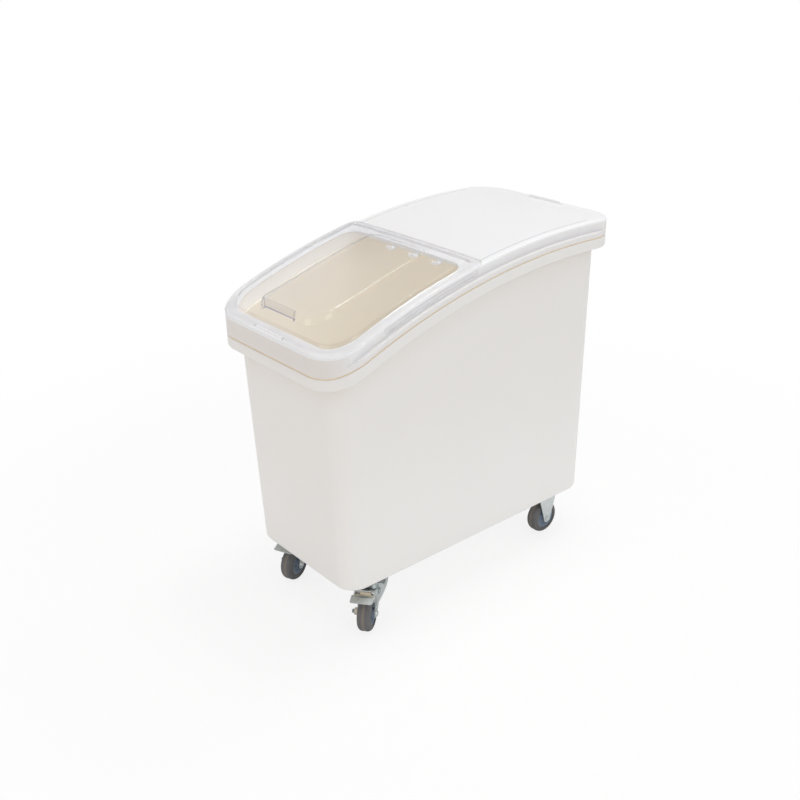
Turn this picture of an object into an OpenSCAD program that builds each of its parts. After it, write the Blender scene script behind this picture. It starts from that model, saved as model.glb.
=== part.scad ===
// Rolling flour bin: a drafted tub on four casters, a lift-off cover and a clear lid that
// slides back over it. Millimetres, +Z up, the low front end faces -Y, and the origin is on
// the floor under the middle of the rim.

/* [Rim] */
// Length of the rim, front to back
rim_l = 750; // [730:1:770]
// Width of the rim
rim_w = 400; // [385:1:415]
// Corner radius of the rim in plan
rim_corner_r = 79; // [75:1:83]
// Height of the turned-down band round the rim
rim_band_h = 22; // [18:1:26]
// Thickness of the rim's shelf and band
rim_t = 4; // [3:0.5:5]
// Radius of the long curve that the rim follows
sweep_r = 1428; // [1400:1:1460]
// How far the top of the curve lies behind the middle
sweep_y = 249; // [242:1:256]
// Slope of the curve in degrees where the rim starts to level at the front
rim_front_tilt = 24.7; // [24.4:0.1:25]
// Radius that levels the front end of the rim
rim_front_r = 93; // [88:1:98]

/* [Tub] */
// Depth of the tub from its underside to the top of the rim's curve
tub_depth = 605; // [580:1:630]
// How far the base lies inside the rim at the front
tub_front_inset = 44; // [42:0.5:46]
// How far the base lies inside the rim at the rear
tub_rear_inset = 31.5; // [30.5:0.5:34]
// How far the base lies inside the rim at the sides
tub_side_inset = 39; // [38.5:0.5:42]
// Draft of the front wall in degrees
tub_front_draft = 2.07; // [1.9:0.01:2.2]
// Draft of the rear wall in degrees
tub_rear_draft = 0.37; // [0.2:0.01:0.5]
// Draft of the side walls in degrees
tub_side_draft = 1.22; // [1.1:0.01:1.25]
// Corner radius of the base
tub_base_r = 43; // [39:1:47]
// Corner radius of the walls at the top
tub_top_r = 51; // [48:1:54]
// Thickness of the walls
tub_wall = 4; // [3:0.5:5]
// Thickness of the floor
tub_floor = 4; // [3:0.5:6]
// Radius round the edge of the base
tub_edge_r = 8; // [6:0.5:9]
// Height of the lip that stands up inside the cover
tub_lip_h = 8; // [5:0.5:10]

/* [Cover] */
// Height of the cover's top over the rim's curve
cover_h = 36; // [34:0.5:40]
// Slope of the curve in degrees where the cover's top starts to level at the front
cover_front_tilt = 23.4; // [23.1:0.1:23.7]
// Radius that levels the front end of the cover's top
cover_front_r = 98; // [92:1:104]
// Open line between the rim and the cover's skirt
cover_gap = 1.8; // [1:0.1:2.5]
// Play between the rim and the flange that the cover sits on
cover_seat = 0.3; // [0.2:0.05:0.5]
// Thickness of the cover's walls
cover_wall = 4; // [3:0.5:5]
// Thickness of the cover's top
cover_roof = 3.5; // [3:0.5:4]
// How far the seat flange lies inside the rim
seat_inset = 20.5; // [19:0.5:21]
// Thickness of the seat flange
seat_t = 3.5; // [3:0.5:4]
// How far the opening's edge lies inside the rim
opening_inset = 28; // [27:0.5:30]
// Where the opening ends, behind the middle
opening_rear_y = -45; // [-55:1:-38]
// Corner radius at the opening's rear
opening_rear_r = 30; // [20:1:40]
// Height of the bead at the foot of the side grooves
bead_h = 13; // [11:0.5:15]
// Height of the guide rails along the top of the sides
rail_h = 7.5; // [6:0.5:9]
// Depth of the side grooves under the rails
groove_d = 10; // [9:0.5:11]
// How far the rails stand back from the rim's edge
rail_inset = 3.5; // [3.5:0.1:4]
// Depth of the crossbar at the rear of the opening
crossbar_h = 6; // [5:0.5:8]
// How far the middle scoop hook stands to the right of the middle
hook_shift = 33; // [28:1:38]
// Distance between the scoop hooks
hook_pitch = 68; // [55:1:75]
// Width of a scoop hook
hook_w = 14; // [10:1:18]
// How far a scoop hook hangs below the crossbar
hook_drop = 6; // [5:0.5:8]
// How far a scoop hook reaches forward
hook_reach = 14; // [10:1:18]
// Thickness of a scoop hook
hook_t = 4; // [3:0.5:5]
// Width of the stop at the rear edge
stop_w = 96; // [80:1:110]
// Height of the stop over the cover
stop_h = 6; // [5:0.5:8]
// Thickness of the stop
stop_t = 4; // [3:0.5:5]
// How far the stop stands in from the rear of the rim
stop_inset = 18; // [16:1:22]
// How far the panel grooves lie inside the rim
panel_groove_inset = 20; // [18:0.5:22]
// Width of the panel grooves
panel_groove_w = 2.4; // [2:0.1:3]
// Depth of the panel grooves
panel_groove_d = 1.5; // [1:0.1:2]

/* [Clear lid] */
// Play between the lid and the cover's top
lid_play = 0.5; // [0.4:0.05:0.7]
// Thickness of the lid
lid_t = 3.5; // [3:0.1:4]
// Where the lid ends, behind the middle
lid_rear_y = -15; // [-20:1:-10]
// Corner radius at the lid's rear
lid_rear_r = 20; // [16:1:24]
// Width of the lid's border round the raised panel
border_w = 20; // [18:0.5:22]
// Height of the raised panel over the border
panel_rise = 7; // [5:0.5:9]
// Thickness of the guide lips
flange_t = 3; // [2.5:0.1:3]
// How far the guide lips hang below the lid's top
lip_drop = 17.5; // [16:0.5:19]
// Height of the guide lips' inturned foot
lip_foot_h = 5; // [4:0.5:6]
// How far the foot reaches in under the rail
lip_foot_w = 7.5; // [7:0.1:8]
// Distance from the front of the rim to the guide lips
lip_front = 114; // [105:1:125]
// Width of the dome at its front
dome_w = 184; // [170:1:196]
// Width of the dome at its rear
dome_rear_w = 172; // [155:1:182]
// Distance from the front of the rim to the dome
dome_front = 33; // [30:1:38]
// Length of the dome
dome_l = 286; // [272:1:298]
// Height of the dome's front over the raised panel
dome_h = 21; // [18:0.5:24]
// Height of the dome's rear over the raised panel
dome_rear_h = 1.5; // [1:0.1:3]
// Radius along the dome's front edges
dome_front_r = 15; // [13:0.5:17]
// Radius along the dome's rear edges
dome_rear_r = 8; // [7:0.5:9]
// Width of the finger pocket in the dome's front
pocket_w = 100; // [90:1:104]
// How far the finger pocket lies to the right of the middle
pocket_shift = -18; // [-22:1:-14]
// Depth of the finger pocket
pocket_d = 6; // [4:0.5:8]
// Width of the finger notch in the lid's front edge
notch_w = 92; // [80:1:110]
// Depth of the finger notch
notch_d = 6; // [4:0.5:8]

/* [Wheels] */
// Diameter of the wheels
wheel_d = 75; // [72:0.5:78]
// Width of the tyres
tyre_w = 28; // [26:0.5:30]
// Radius of the tyres' shoulders
tyre_shoulder_r = 9; // [7:0.5:10]
// Radius of the wheel cores' rim
core_r = 25; // [23:0.5:27]
// Thickness of the cores' rim
core_rim_t = 4.5; // [4:0.5:5]
// Thickness of the cores' web
core_web_t = 12; // [10:0.5:14]
// Radius of the hubs
hub_r = 11; // [10:0.5:12]
// Radius of the axles
axle_r = 4; // [3.5:0.1:4.5]
// Wall of the axle bushes
bush_t = 2; // [1.5:0.1:2.5]
// Radial play of the running fits
run_play = 0.06; // [0.03:0.01:0.09]
// Gap beside the tyres
side_gap = 2.5; // [2:0.1:3]
// Thickness of the fork legs
leg_t = 2.5; // [2:0.1:3]
// Radius of the legs round the axle
leg_boss_r = 10; // [9:0.5:11]
// Gap over the tyre below the fork's crown
crown_gap = 11; // [10:0.5:12]
// Length of the fork's crown
crown_l = 50; // [46:1:54]

/* [Swivel] */
// Distance of the swivels from the middle
swivel_x = 121; // [117:1:123]
// Distance of the swivels in front of the middle
swivel_front = 249; // [240:1:255]
// Distance from the swivel to the axle
trail = 36; // [34:0.5:38]
// Angle of the left swivel at rest, in degrees from +X
swivel_angle_left = -67.4; // [-80:0.1:-50]
// Angle of the right swivel at rest, in degrees from +X
swivel_angle_right = -52.8; // [-80:0.1:-50]
// Radius of the kingpins
kingpin_r = 5; // [4.5:0.1:5.5]
// Radius of the kingpins' heads
kingpin_head_r = 9; // [8:0.5:10]
// Thickness of the kingpins' heads
kingpin_head_h = 4; // [3:0.5:4.5]
// Play between the kingpins' heads and the crowns
kingpin_play = 0.3; // [0.2:0.05:0.5]
// Thickness of the crowns
crown_t = 3; // [2.5:0.1:3.5]
// Height of the lower ball race
race_low_h = 6; // [5.5:0.1:7]
// Height of the upper ball race
race_high_h = 7.6; // [7:0.1:8.5]
// Open height between the races
race_gap = 2.4; // [2:0.1:2.6]
// Radius of the balls
ball_r = 3.1; // [2.9:0.05:3.2]
// Radius of the ring of balls
ball_ring_r = 15.5; // [15:0.1:16]
// Number of balls in a ring
ball_count = 12; // [8:1:12]
// Play of the balls in the races
ball_play = 0.25; // [0.2:0.01:0.3]
// Radius of the races
race_r = 21; // [20.5:0.1:22]

/* [Mounting plates] */
// Width of the mounting plates
plate_w = 60; // [56:1:62]
// Length of the mounting plates
plate_l = 92; // [90:1:96]
// Thickness of the mounting plates
plate_t = 3; // [2.5:0.1:4]
// Corner radius of the mounting plates
plate_corner_r = 8; // [6:0.5:9]
// Distance between the bolts across a plate
bolt_pitch_x = 38; // [36:0.5:40]
// Distance between the bolts along a plate
bolt_pitch_y = 76; // [74:0.5:78]
// Distance of the rear wheels from the middle
rear_x = 115; // [110:1:118]
// Distance of the rear wheels behind the middle
rear_back = 260; // [250:1:268]
// Width of the fixed forks' legs under their plate
fixed_leg_w = 60; // [54:1:64]

/* [Fasteners] */
// Radius of the plate bolts
bolt_r = 3; // [2.5:0.1:3.2]
// Radial play of the bolts in their holes
bolt_play = 0.3; // [0.2:0.05:0.4]
// Width of the bolts' heads and nuts over the flats
bolt_flats = 10; // [9:0.5:11]
// Height of the bolts' heads
bolt_head_h = 4; // [3:0.5:4.5]
// Height of the nuts
bolt_nut_h = 5; // [4:0.5:6]
// Radius of the washers
washer_r = 6.2; // [6:0.1:6.5]
// Thickness of the washers
washer_t = 1.5; // [1:0.1:2]
// Thread that stands out past a nut
thread_out = 2; // [1:0.5:3]
// Width of the axles' nuts over the flats
axle_flats = 13; // [12:0.5:14]
// Radius of the axles' round heads
axle_head_r = 6.5; // [6:0.1:7.5]
// Height of the axles' heads
axle_head_h = 3; // [2:0.5:4]
// Height of the axles' nuts
axle_nut_h = 6.5; // [5:0.5:8]

/* [Brake] */
// Distance of the brake pin in front of the swivel
brake_pin_u = 20; // [19:0.5:21]
// Radius of the brake pin
brake_pin_r = 3; // [2.5:0.1:3.5]
// Height of the brake pin over the tyre
brake_pin_rise = 7; // [6.5:0.5:7.5]
// Thickness of the pedal's sheet
pedal_t = 2.2; // [2:0.1:2.5]
// Gap between the pedal's cheeks and the fork
pedal_gap = 0.4; // [0.3:0.05:0.6]
// Radius of the cheeks round the pin
cheek_r = 6; // [5:0.5:6.5]
// Distance of the brake bar in front of the axle
brake_bar_u = 9; // [8:0.5:9.5]
// Height of the brake bar over the tyre
brake_bar_rise = 8.5; // [8:0.5:10]
// Radius of the brake bar
brake_bar_r = 4; // [3.5:0.1:4.5]
// Distance of the pedal's roof in front of the axle, at its rear edge
pedal_roof_u = 3; // [1:0.5:5]
// Height of the pedal's roof over the tyre
pedal_roof_rise = 17; // [15:0.5:18]
// Distance of the pedal's brow in front of the axle
pedal_brow_u = 16; // [14:0.5:18]
// How far the pedal's brow hangs below the roof
pedal_brow_drop = 4.5; // [3:0.5:5.5]
// Distance of the tread's rear edge in front of the axle
tread_back_u = 14; // [13:0.5:15]
// Height of the tread over the tyre at its rear edge
tread_back_rise = 6.5; // [6:0.5:7.5]
// Distance of the tread's bend in front of the axle
tread_bend_u = 24; // [22:0.5:26]
// Height of the tread over the tyre at its bend
tread_bend_rise = 4; // [3:0.5:5]
// Distance of the tread's rolled end in front of the axle
tread_end_u = 37; // [35:0.5:40]
// Height of the tread's rolled end over the tyre
tread_end_rise = -1; // [-2:0.5:1]
// How far the tread stands out past the cheeks
pedal_over = 0.6; // [0.4:0.1:1]
// Radius of the tread's rolled end
pedal_roll_r = 3.5; // [3:0.5:4]
// Distance of the cheeks' lower point in front of the axle
cheek_point_u = 12; // [10:0.5:14]
// How far the cheeks' lower point lies below the top of the tyre
cheek_point_drop = 6; // [4:0.5:8]

/* [Hidden] */
$fn = 64;
// Segments of the long curve, of a rounded hull's balls, of the tub's corners and foot, and of a hexagon
sweep_fn = 720;
hull_fn = 32;
corner_fn = 48;
foot_fn = 16;
hex_fn = 6;
// Overrun of cuts, and a span larger than the whole bin
cut = 1;
span = 3 * rim_l;

// Corner centres that every outline of the bin shares
corner_x = rim_w / 2 - rim_corner_r;
corner_y = rim_l / 2 - rim_corner_r;
front_y = -rim_l / 2;

// Heights of the caster, from the floor up to the tub's underside
wheel_r = wheel_d / 2;
crown_z = wheel_d + crown_gap;
race_low_z = crown_z + crown_t + race_low_h;
race_high_z = race_low_z + race_gap;
plate_z = race_high_z + race_high_h;
base_z = plate_z + plate_t;
ball_z = (race_low_z + race_high_z) / 2;

// The rim's long curve: its centre, and the centres of the two radii that level the front
sweep_z = base_z + tub_depth - sweep_r;
rim_hub = sweep_r + rim_front_r;
cover_hub = sweep_r + cover_h + cover_front_r;

// Radii of the outlines about the corner centres
seat_r = rim_corner_r - seat_inset;
opening_r = rim_corner_r - opening_inset;

// Heights over the rim's curve
rail_low_h = cover_h - rail_h;
lid_low_h = cover_h + lid_play;
lid_top_h = lid_low_h + lid_t;
panel_top_h = lid_top_h + panel_rise;
panel_low_h = panel_top_h - lid_t;

// Fork and axle sizes across the wheel
hub_w = tyre_w + side_gap;
leg_in = tyre_w / 2 + side_gap;
leg_out = leg_in + leg_t;
cheek_in = leg_out + pedal_gap;
cheek_out = cheek_in + pedal_t;
bush_r = axle_r + bush_t;

// Share of the corner radius over which the rails' outer face stays straight
rail_shave_share = 0.4;
// Share of the crown that lies behind the swivel
crown_back_share = 0.5;
// Share of the shoulder radius by which the core's rim is narrower than the tyre
core_tuck_share = 0.4;
// Share of the brake bar's radius that its riveted ends have
bar_neck_share = 0.6;
// Share of the axle head's radius that its outer face has
head_taper_share = 0.75;
// Share of a hexagon's width over its flats that its corner radius has
hex_corner_share = 0.57735;

tub_colour = [0.90, 0.89, 0.87];
cover_colour = [0.93, 0.93, 0.94];
lid_colour = [0.86, 0.88, 0.93, 0.45];
zinc_colour = [0.74, 0.77, 0.76];
tyre_colour = [0.30, 0.29, 0.29];
core_colour = [0.42, 0.48, 0.55];

// How far the tub's walls lie inside the rim at height z: at the sides, and at the front or rear end
function side_inset(z) = tub_side_inset - (z - base_z) * tan(tub_side_draft);
function end_inset(end, z) = end < 0
    ? tub_front_inset - (z - base_z) * tan(tub_front_draft)
    : tub_rear_inset - (z - base_z) * tan(tub_rear_draft);

// Outline with round corners of radius r about the shared corner centres
module outline(r) {
    square([2 * (corner_x + r), 2 * corner_y], center = true);
    square([2 * corner_x, 2 * (corner_y + r)], center = true);
    for (sx = [-1, 1], sy = [-1, 1])
        translate([sx * corner_x, sy * corner_y])
            circle(r);
}

// Outline with one corner radius at the front and another at the rear
module tray_outline(half_w, y0, y1, r0, r1) {
    translate([-half_w, y0 + r0])
        square([2 * half_w, y1 - y0 - r0 - r1]);
    translate([r0 - half_w, y0])
        square([2 * (half_w - r0), y1 - y0 - r1]);
    translate([r1 - half_w, y0 + r0])
        square([2 * (half_w - r1), y1 - y0 - r0]);
    for (side = [-1, 1]) {
        translate([side * (half_w - r0), y0 + r0])
            circle(r0);
        translate([side * (half_w - r1), y1 - r1])
            circle(r1);
    }
}

// Upright prism of an outline, tall enough for any cut
module column(r) {
    linear_extrude(height = span)
        outline(r);
}

// Profile in Y and Z, run across the bin
module across(width = span) {
    rotate([90, 0, 90])
        linear_extrude(height = width, center = true)
            children();
}

// Plate in X and Z of the caster, from v to v + t across the wheel
module upright(v, t) {
    translate([0, v + t, 0])
        rotate([90, 0, 0])
            linear_extrude(height = t)
                children();
}

// Disc about the long curve's centre, h over the rim's curve
module sweep_disc(h) {
    translate([sweep_y, sweep_z])
        circle(sweep_r + h, $fn = sweep_fn);
}

// Everything below the long curve at height h, levelled at the front about a hub
module under(h, tilt, hub) {
    tangent_y = sweep_y - (sweep_r + h) * sin(tilt);
    hub_y = sweep_y - hub * sin(tilt);
    hub_z = sweep_z + hub * cos(tilt);
    sweep_disc(h);
    difference() {
        translate([tangent_y - span, 0])
            square([span, hub_z]);
        translate([hub_y, hub_z])
            circle(hub - sweep_r - h, $fn = sweep_fn);
    }
}

module under_rim(h) {
    under(h, rim_front_tilt, rim_hub);
}

module under_top(h) {
    under(h, cover_front_tilt, cover_hub);
}

// Band of the long curve from h0 to h1, without the level front
module sweep_band(h0, h1) {
    difference() {
        sweep_disc(h1);
        sweep_disc(h0);
    }
}

// Places of the tub's four corner centres at height z, for corners of radius r
module at_tub_corners(z, r) {
    for (sx = [-1, 1], sy = [-1, 1])
        translate([sx * (rim_w / 2 - side_inset(z) - r), sy * (rim_l / 2 - end_inset(sy, z) - r), z])
            children();
}

// Block of the tub's drafted walls with a round foot, moved in by a wall
module tub_block(wall, z0, z1) {
    hull() {
        at_tub_corners(z0 + tub_edge_r, tub_base_r)
            rotate_extrude($fn = corner_fn)
                translate([tub_base_r - wall - tub_edge_r, 0])
                    circle(tub_edge_r, $fn = foot_fn);
        at_tub_corners(z1, tub_top_r)
            cylinder(h = cut, r = tub_top_r - wall, $fn = corner_fn);
    }
}

// Both sides of the bin beyond x from the middle
module beyond(x) {
    for (side = [-1, 1])
        translate([side * (x + span / 2), 0, 0])
            cube([span, span, 2 * span], center = true);
}

// Both sides of the bin between x0 and x1 from the middle
module strips(x0, x1) {
    for (side = [-1, 1])
        translate([side * (x0 + x1) / 2, 0, 0])
            cube([x1 - x0, span, 2 * span], center = true);
}

// Places of the plates, and of the bolts round each plate
module at_plates() {
    for (side = [-1, 1]) {
        translate([side * swivel_x, -swivel_front, 0])
            children();
        translate([side * rear_x, rear_back, 0])
            children();
    }
}

module at_bolts() {
    for (sx = [-1, 1], sy = [-1, 1])
        translate([sx * bolt_pitch_x / 2, sy * bolt_pitch_y / 2, 0])
            children();
}

// Hexagon with the given width over its flats
module hexagon(flats, height) {
    cylinder(h = height, r = flats * hex_corner_share, $fn = hex_fn);
}

// Tub: drafted walls, floor, lip and the overhanging rim with its turned-down band
module tub() {
    top = base_z + tub_depth + rim_band_h;
    color(tub_colour)
    difference() {
        union() {
            intersection() {
                tub_block(0, base_z, top);
                across()
                    under_rim(tub_lip_h);
            }
            tub_rim();
        }
        tub_block(tub_wall, base_z + tub_floor, top + cut);
        at_plates()
            at_bolts()
                translate([0, 0, base_z - cut])
                    cylinder(h = tub_floor + 2 * cut, r = bolt_r + bolt_play);
    }
}

module tub_rim() {
    difference() {
        intersection() {
            column(rim_corner_r);
            across()
                difference() {
                    under_rim(0);
                    under_rim(-rim_band_h);
                }
        }
        intersection() {
            column(rim_corner_r - rim_t);
            across()
                under_rim(-rim_t);
        }
        column(rim_corner_r - tub_side_inset);
    }
}

// Cover: skirt, roof, seat flange, guide rails, crossbar with scoop hooks and rear stop
module cover() {
    color(cover_colour) {
        difference() {
            union() {
                cover_shell();
                cover_seat_flange();
                cover_sides();
                cover_crossbar();
            }
            cover_opening();
            intersection() {
                beyond(rim_w / 2 - groove_d);
                across()
                    sweep_band(bead_h, rail_low_h);
            }
            intersection() {
                beyond(rim_w / 2 - rail_inset);
                across()
                    sweep_band(bead_h, cover_h + cut);
                translate([-span / 2, -corner_y - rim_corner_r * rail_shave_share, 0])
                    cube([span, 2 * (corner_y + rim_corner_r * rail_shave_share), span]);
            }
            panel_grooves();
        }
        cover_stop();
        scoop_hooks();
    }
}

module cover_shell() {
    difference() {
        intersection() {
            column(rim_corner_r);
            across()
                difference() {
                    under_top(cover_h);
                    under_rim(cover_gap);
                }
        }
        intersection() {
            column(rim_corner_r - cover_wall);
            across()
                under_top(cover_h - cover_roof);
        }
    }
}

module cover_seat_flange() {
    intersection() {
        difference() {
            column(seat_r);
            column(seat_r - seat_t);
        }
        across()
            difference() {
                under_top(cover_h - cover_roof / 2);
                under_rim(cover_seat);
            }
    }
}

// Walls behind the side grooves, the shelf over the bead and the solid rails
module cover_sides() {
    wall_x = rim_w / 2 - groove_d - cover_wall;
    intersection() {
        column(rim_corner_r - cover_wall / 2);
        strips(wall_x, rim_w / 2 - groove_d);
        across()
            sweep_band(bead_h - cover_wall, cover_h - cover_roof / 2);
    }
    intersection() {
        column(rim_corner_r - cover_wall / 2);
        beyond(wall_x);
        across() {
            sweep_band(bead_h - cover_wall, bead_h);
            sweep_band(rail_low_h, cover_h - cover_roof / 2);
        }
    }
}

// Opening under the clear lid
module cover_opening() {
    linear_extrude(height = span)
        tray_outline(corner_x + opening_r, -corner_y - opening_r, opening_rear_y,
                     opening_r, opening_rear_r);
}

// Bar across the rear of the opening
module cover_crossbar() {
    intersection() {
        column(seat_r);
        translate([-span / 2, opening_rear_y, 0])
            cube([span, cover_wall, span]);
        across()
            sweep_band(cover_h - crossbar_h, cover_h - cover_roof / 2);
    }
}

// Radius of the foot of the crossbar about the long curve's centre, and its place
crossbar_foot_r = sweep_r + cover_h - crossbar_h;
crossbar_foot_z = sweep_z + sqrt(pow(crossbar_foot_r, 2) - pow(sweep_y - opening_rear_y, 2));

// Scoop hooks: each hangs from the crossbar, turns forward and ends in an upturned lip
module scoop_hooks() {
    foot_z = crossbar_foot_z - hook_drop;
    for (i = [-1, 0, 1])
        translate([hook_shift + i * hook_pitch - hook_w / 2, opening_rear_y, foot_z]) {
            cube([hook_w, hook_t, hook_drop + crossbar_h / 2]);
            translate([0, -hook_reach, 0])
                cube([hook_w, hook_reach + hook_t, hook_t]);
            translate([0, -hook_reach, 0])
                cube([hook_w, hook_t, 2 * hook_t]);
        }
}

// Stop at the rear edge that keeps the clear lid from sliding off
module cover_stop() {
    intersection() {
        translate([-stop_w / 2, rim_l / 2 - stop_inset - stop_t, 0])
            cube([stop_w, stop_t, span]);
        across()
            sweep_band(cover_h - cover_roof / 2, cover_h + stop_h);
    }
}

// Shallow grooves along the sides of the rear panel
module panel_grooves() {
    groove_x = rim_w / 2 - panel_groove_inset;
    intersection() {
        strips(groove_x - panel_groove_w / 2, groove_x + panel_groove_w / 2);
        translate([-span / 2, opening_rear_y + opening_rear_r, 0])
            cube([span, corner_y - opening_rear_y - opening_rear_r, span]);
        across()
            sweep_band(cover_h - panel_groove_d, cover_h + cut);
    }
}

// Clear lid: border with guide flanges, raised panel and a wedge dome with a finger pocket
module clear_lid() {
    color(lid_colour)
    difference() {
        union() {
            lid_border();
            lid_panel();
            lid_flanges();
            dome_shell();
        }
        difference() {
            dome_hull(lid_t);
            pocket_block(lid_t);
        }
        lid_notch();
    }
}

// Outline of the lid, moved in from its edge
module lid_outline(inset) {
    tray_outline(rim_w / 2 - inset, front_y + inset, lid_rear_y - inset,
                 rim_corner_r - inset, max(lid_rear_r - inset, lid_t));
}

module lid_prism(inset) {
    linear_extrude(height = span)
        lid_outline(inset);
}

module lid_layer(h0, h1) {
    across()
        difference() {
            under_top(h1);
            under_top(h0);
        }
}

module lid_border() {
    intersection() {
        difference() {
            lid_prism(0);
            lid_prism(border_w + lid_t / 2);
        }
        lid_layer(lid_low_h, lid_top_h);
    }
}

module lid_panel() {
    intersection() {
        lid_prism(border_w);
        lid_layer(panel_low_h, panel_top_h);
    }
    intersection() {
        difference() {
            lid_prism(border_w);
            lid_prism(border_w + lid_t);
        }
        lid_layer(lid_low_h, panel_top_h);
    }
}

// Guide lips along the sides, which reach in under the rails
module lid_flanges() {
    edge = rim_w / 2;
    lip_y = front_y + lip_front;
    end_y = lid_rear_y - lid_rear_r;
    intersection() {
        union() {
            intersection() {
                strips(edge - flange_t, edge);
                across()
                    sweep_band(lid_top_h - lip_drop, lid_top_h);
            }
            intersection() {
                strips(edge - lip_foot_w, edge);
                across()
                    sweep_band(lid_top_h - lip_drop, lid_top_h - lip_drop + lip_foot_h);
            }
        }
        translate([-span / 2, lip_y, 0])
            cube([span, end_y - lip_y, span]);
    }
}

// Height of the long curve over the floor at y, h over the rim
function sweep_height(y, h) = sweep_z + sqrt(pow(sweep_r + h, 2) - pow(sweep_y - y, 2));

// Rounded wedge of the dome, moved in from its surface
module dome_hull(inset) {
    front = front_y + dome_front + dome_front_r;
    rear = front_y + dome_front + dome_l - dome_rear_r;
    front_z = sweep_height(front, panel_top_h) + dome_h - dome_front_r;
    rear_z = sweep_height(rear, panel_top_h) + dome_rear_h - dome_rear_r;
    hull()
        for (side = [-1, 1]) {
            translate([side * (dome_w / 2 - dome_front_r), front, front_z])
                sphere(dome_front_r - inset, $fn = hull_fn);
            translate([side * (dome_w / 2 - dome_front_r), front, front_z - dome_front_r])
                sphere(dome_front_r - inset, $fn = hull_fn);
            translate([side * (dome_rear_w / 2 - dome_rear_r), rear, rear_z])
                sphere(dome_rear_r - inset, $fn = hull_fn);
        }
}

// Dome over the panel, cut back at the pocket, with the pocket's own walls
module dome_shell() {
    difference() {
        intersection() {
            dome_hull(0);
            across()
                difference() {
                    square([2 * span, span], center = true);
                    under_top(panel_low_h);
                }
        }
        intersection() {
            pocket_block(0);
            across()
                difference() {
                    square([2 * span, span], center = true);
                    under_top(panel_top_h);
                }
        }
    }
}

// Block that the finger pocket takes out of the dome, grown by a wall
module pocket_block(wall) {
    translate([pocket_shift - pocket_w / 2 - wall, front_y + dome_front - cut, 0])
        cube([pocket_w + 2 * wall, pocket_d + cut + wall, span]);
}

// Finger notch in the front edge of the border
module lid_notch() {
    translate([-notch_w / 2, front_y - cut, 0])
        cube([notch_w, notch_d + cut, span]);
}

// Fasteners that hold the four plates, all alike
module plate_bolts() {
    color(zinc_colour)
    at_plates()
        at_bolts() {
            translate([0, 0, plate_z - bolt_head_h])
                hexagon(bolt_flats, bolt_head_h);
            translate([0, 0, plate_z - bolt_head_h / 2])
                cylinder(h = bolt_head_h / 2 + plate_t + tub_floor + washer_t + bolt_nut_h + thread_out,
                         r = bolt_r);
        }
}

module plate_washers() {
    color(zinc_colour)
    at_plates()
        at_bolts()
            translate([0, 0, base_z + tub_floor])
                difference() {
                    cylinder(h = washer_t, r = washer_r);
                    translate([0, 0, -cut])
                        cylinder(h = washer_t + 2 * cut, r = bolt_r + bolt_play);
                }
}

module plate_nuts() {
    color(zinc_colour)
    at_plates()
        at_bolts()
            translate([0, 0, base_z + tub_floor + washer_t])
                difference() {
                    hexagon(bolt_flats, bolt_nut_h);
                    translate([0, 0, -cut])
                        cylinder(h = bolt_nut_h + 2 * cut, r = bolt_r + run_play);
                }
}

// Place of a front caster's swivel, turned to its heading, and of a rear caster
module at_swivel(side) {
    translate([side * swivel_x, -swivel_front, 0])
        rotate(side < 0 ? swivel_angle_left : swivel_angle_right)
            children();
}

module at_rear(side) {
    translate([side * rear_x, rear_back, 0])
        rotate(-90 * side)
            children();
}

// Mounting plate with its four holes, long side along Y
module mounting_plate() {
    difference() {
        translate([0, 0, plate_z])
            linear_extrude(height = plate_t) {
                square([plate_w - 2 * plate_corner_r, plate_l], center = true);
                square([plate_w, plate_l - 2 * plate_corner_r], center = true);
                for (sx = [-1, 1], sy = [-1, 1])
                    translate([sx * (plate_w / 2 - plate_corner_r), sy * (plate_l / 2 - plate_corner_r)])
                        circle(plate_corner_r);
            }
        at_bolts()
            translate([0, 0, plate_z - cut])
                cylinder(h = plate_t + 2 * cut, r = bolt_r + bolt_play);
    }
}

// Groove of the ball race
module ball_groove() {
    translate([0, 0, ball_z])
        rotate_extrude()
            translate([ball_ring_r, 0])
                circle(ball_r + ball_play);
}

// Ring of a ball race, open in the middle round the kingpin
module race_ring(z, height) {
    difference() {
        translate([0, 0, z])
            cylinder(h = height, r = race_r);
        translate([0, 0, z - cut])
            cylinder(h = height + 2 * cut, r = kingpin_head_r);
        ball_groove();
    }
}

module swivel_plate(side) {
    color(zinc_colour)
    translate([side * swivel_x, -swivel_front, 0])
        difference() {
            union() {
                mounting_plate();
                race_ring(race_high_z, race_high_h + plate_t / 2);
            }
            translate([0, 0, plate_z - cut])
                cylinder(h = plate_t + 2 * cut, r = kingpin_r + run_play);
        }
}

// Kingpin, headed under the crown and riveted over in the plate
module kingpin(side) {
    head_z = crown_z - kingpin_play - kingpin_head_h;
    color(zinc_colour)
    at_swivel(side) {
        translate([0, 0, head_z])
            cylinder(h = kingpin_head_h, r = kingpin_head_r);
        translate([0, 0, head_z + kingpin_head_h / 2])
            cylinder(h = base_z - head_z - kingpin_head_h / 2, r = kingpin_r);
    }
}

module swivel_balls(side) {
    color(zinc_colour)
    at_swivel(side)
        for (i = [0 : ball_count - 1])
            rotate(360 * i / ball_count)
                translate([ball_ring_r, 0, ball_z])
                    sphere(ball_r);
}

// One leg of the swivel fork, from the crown down to the axle
module fork_leg_outline() {
    polygon([
        [-crown_l * crown_back_share, crown_z + crown_t],
        [crown_l * (1 - crown_back_share), crown_z + crown_t],
        [trail + leg_boss_r, wheel_r],
        [trail - leg_boss_r, wheel_r]
    ]);
    translate([trail, wheel_r])
        circle(leg_boss_r);
    translate([brake_pin_u, wheel_d + brake_pin_rise])
        circle(cheek_r);
}

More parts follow.
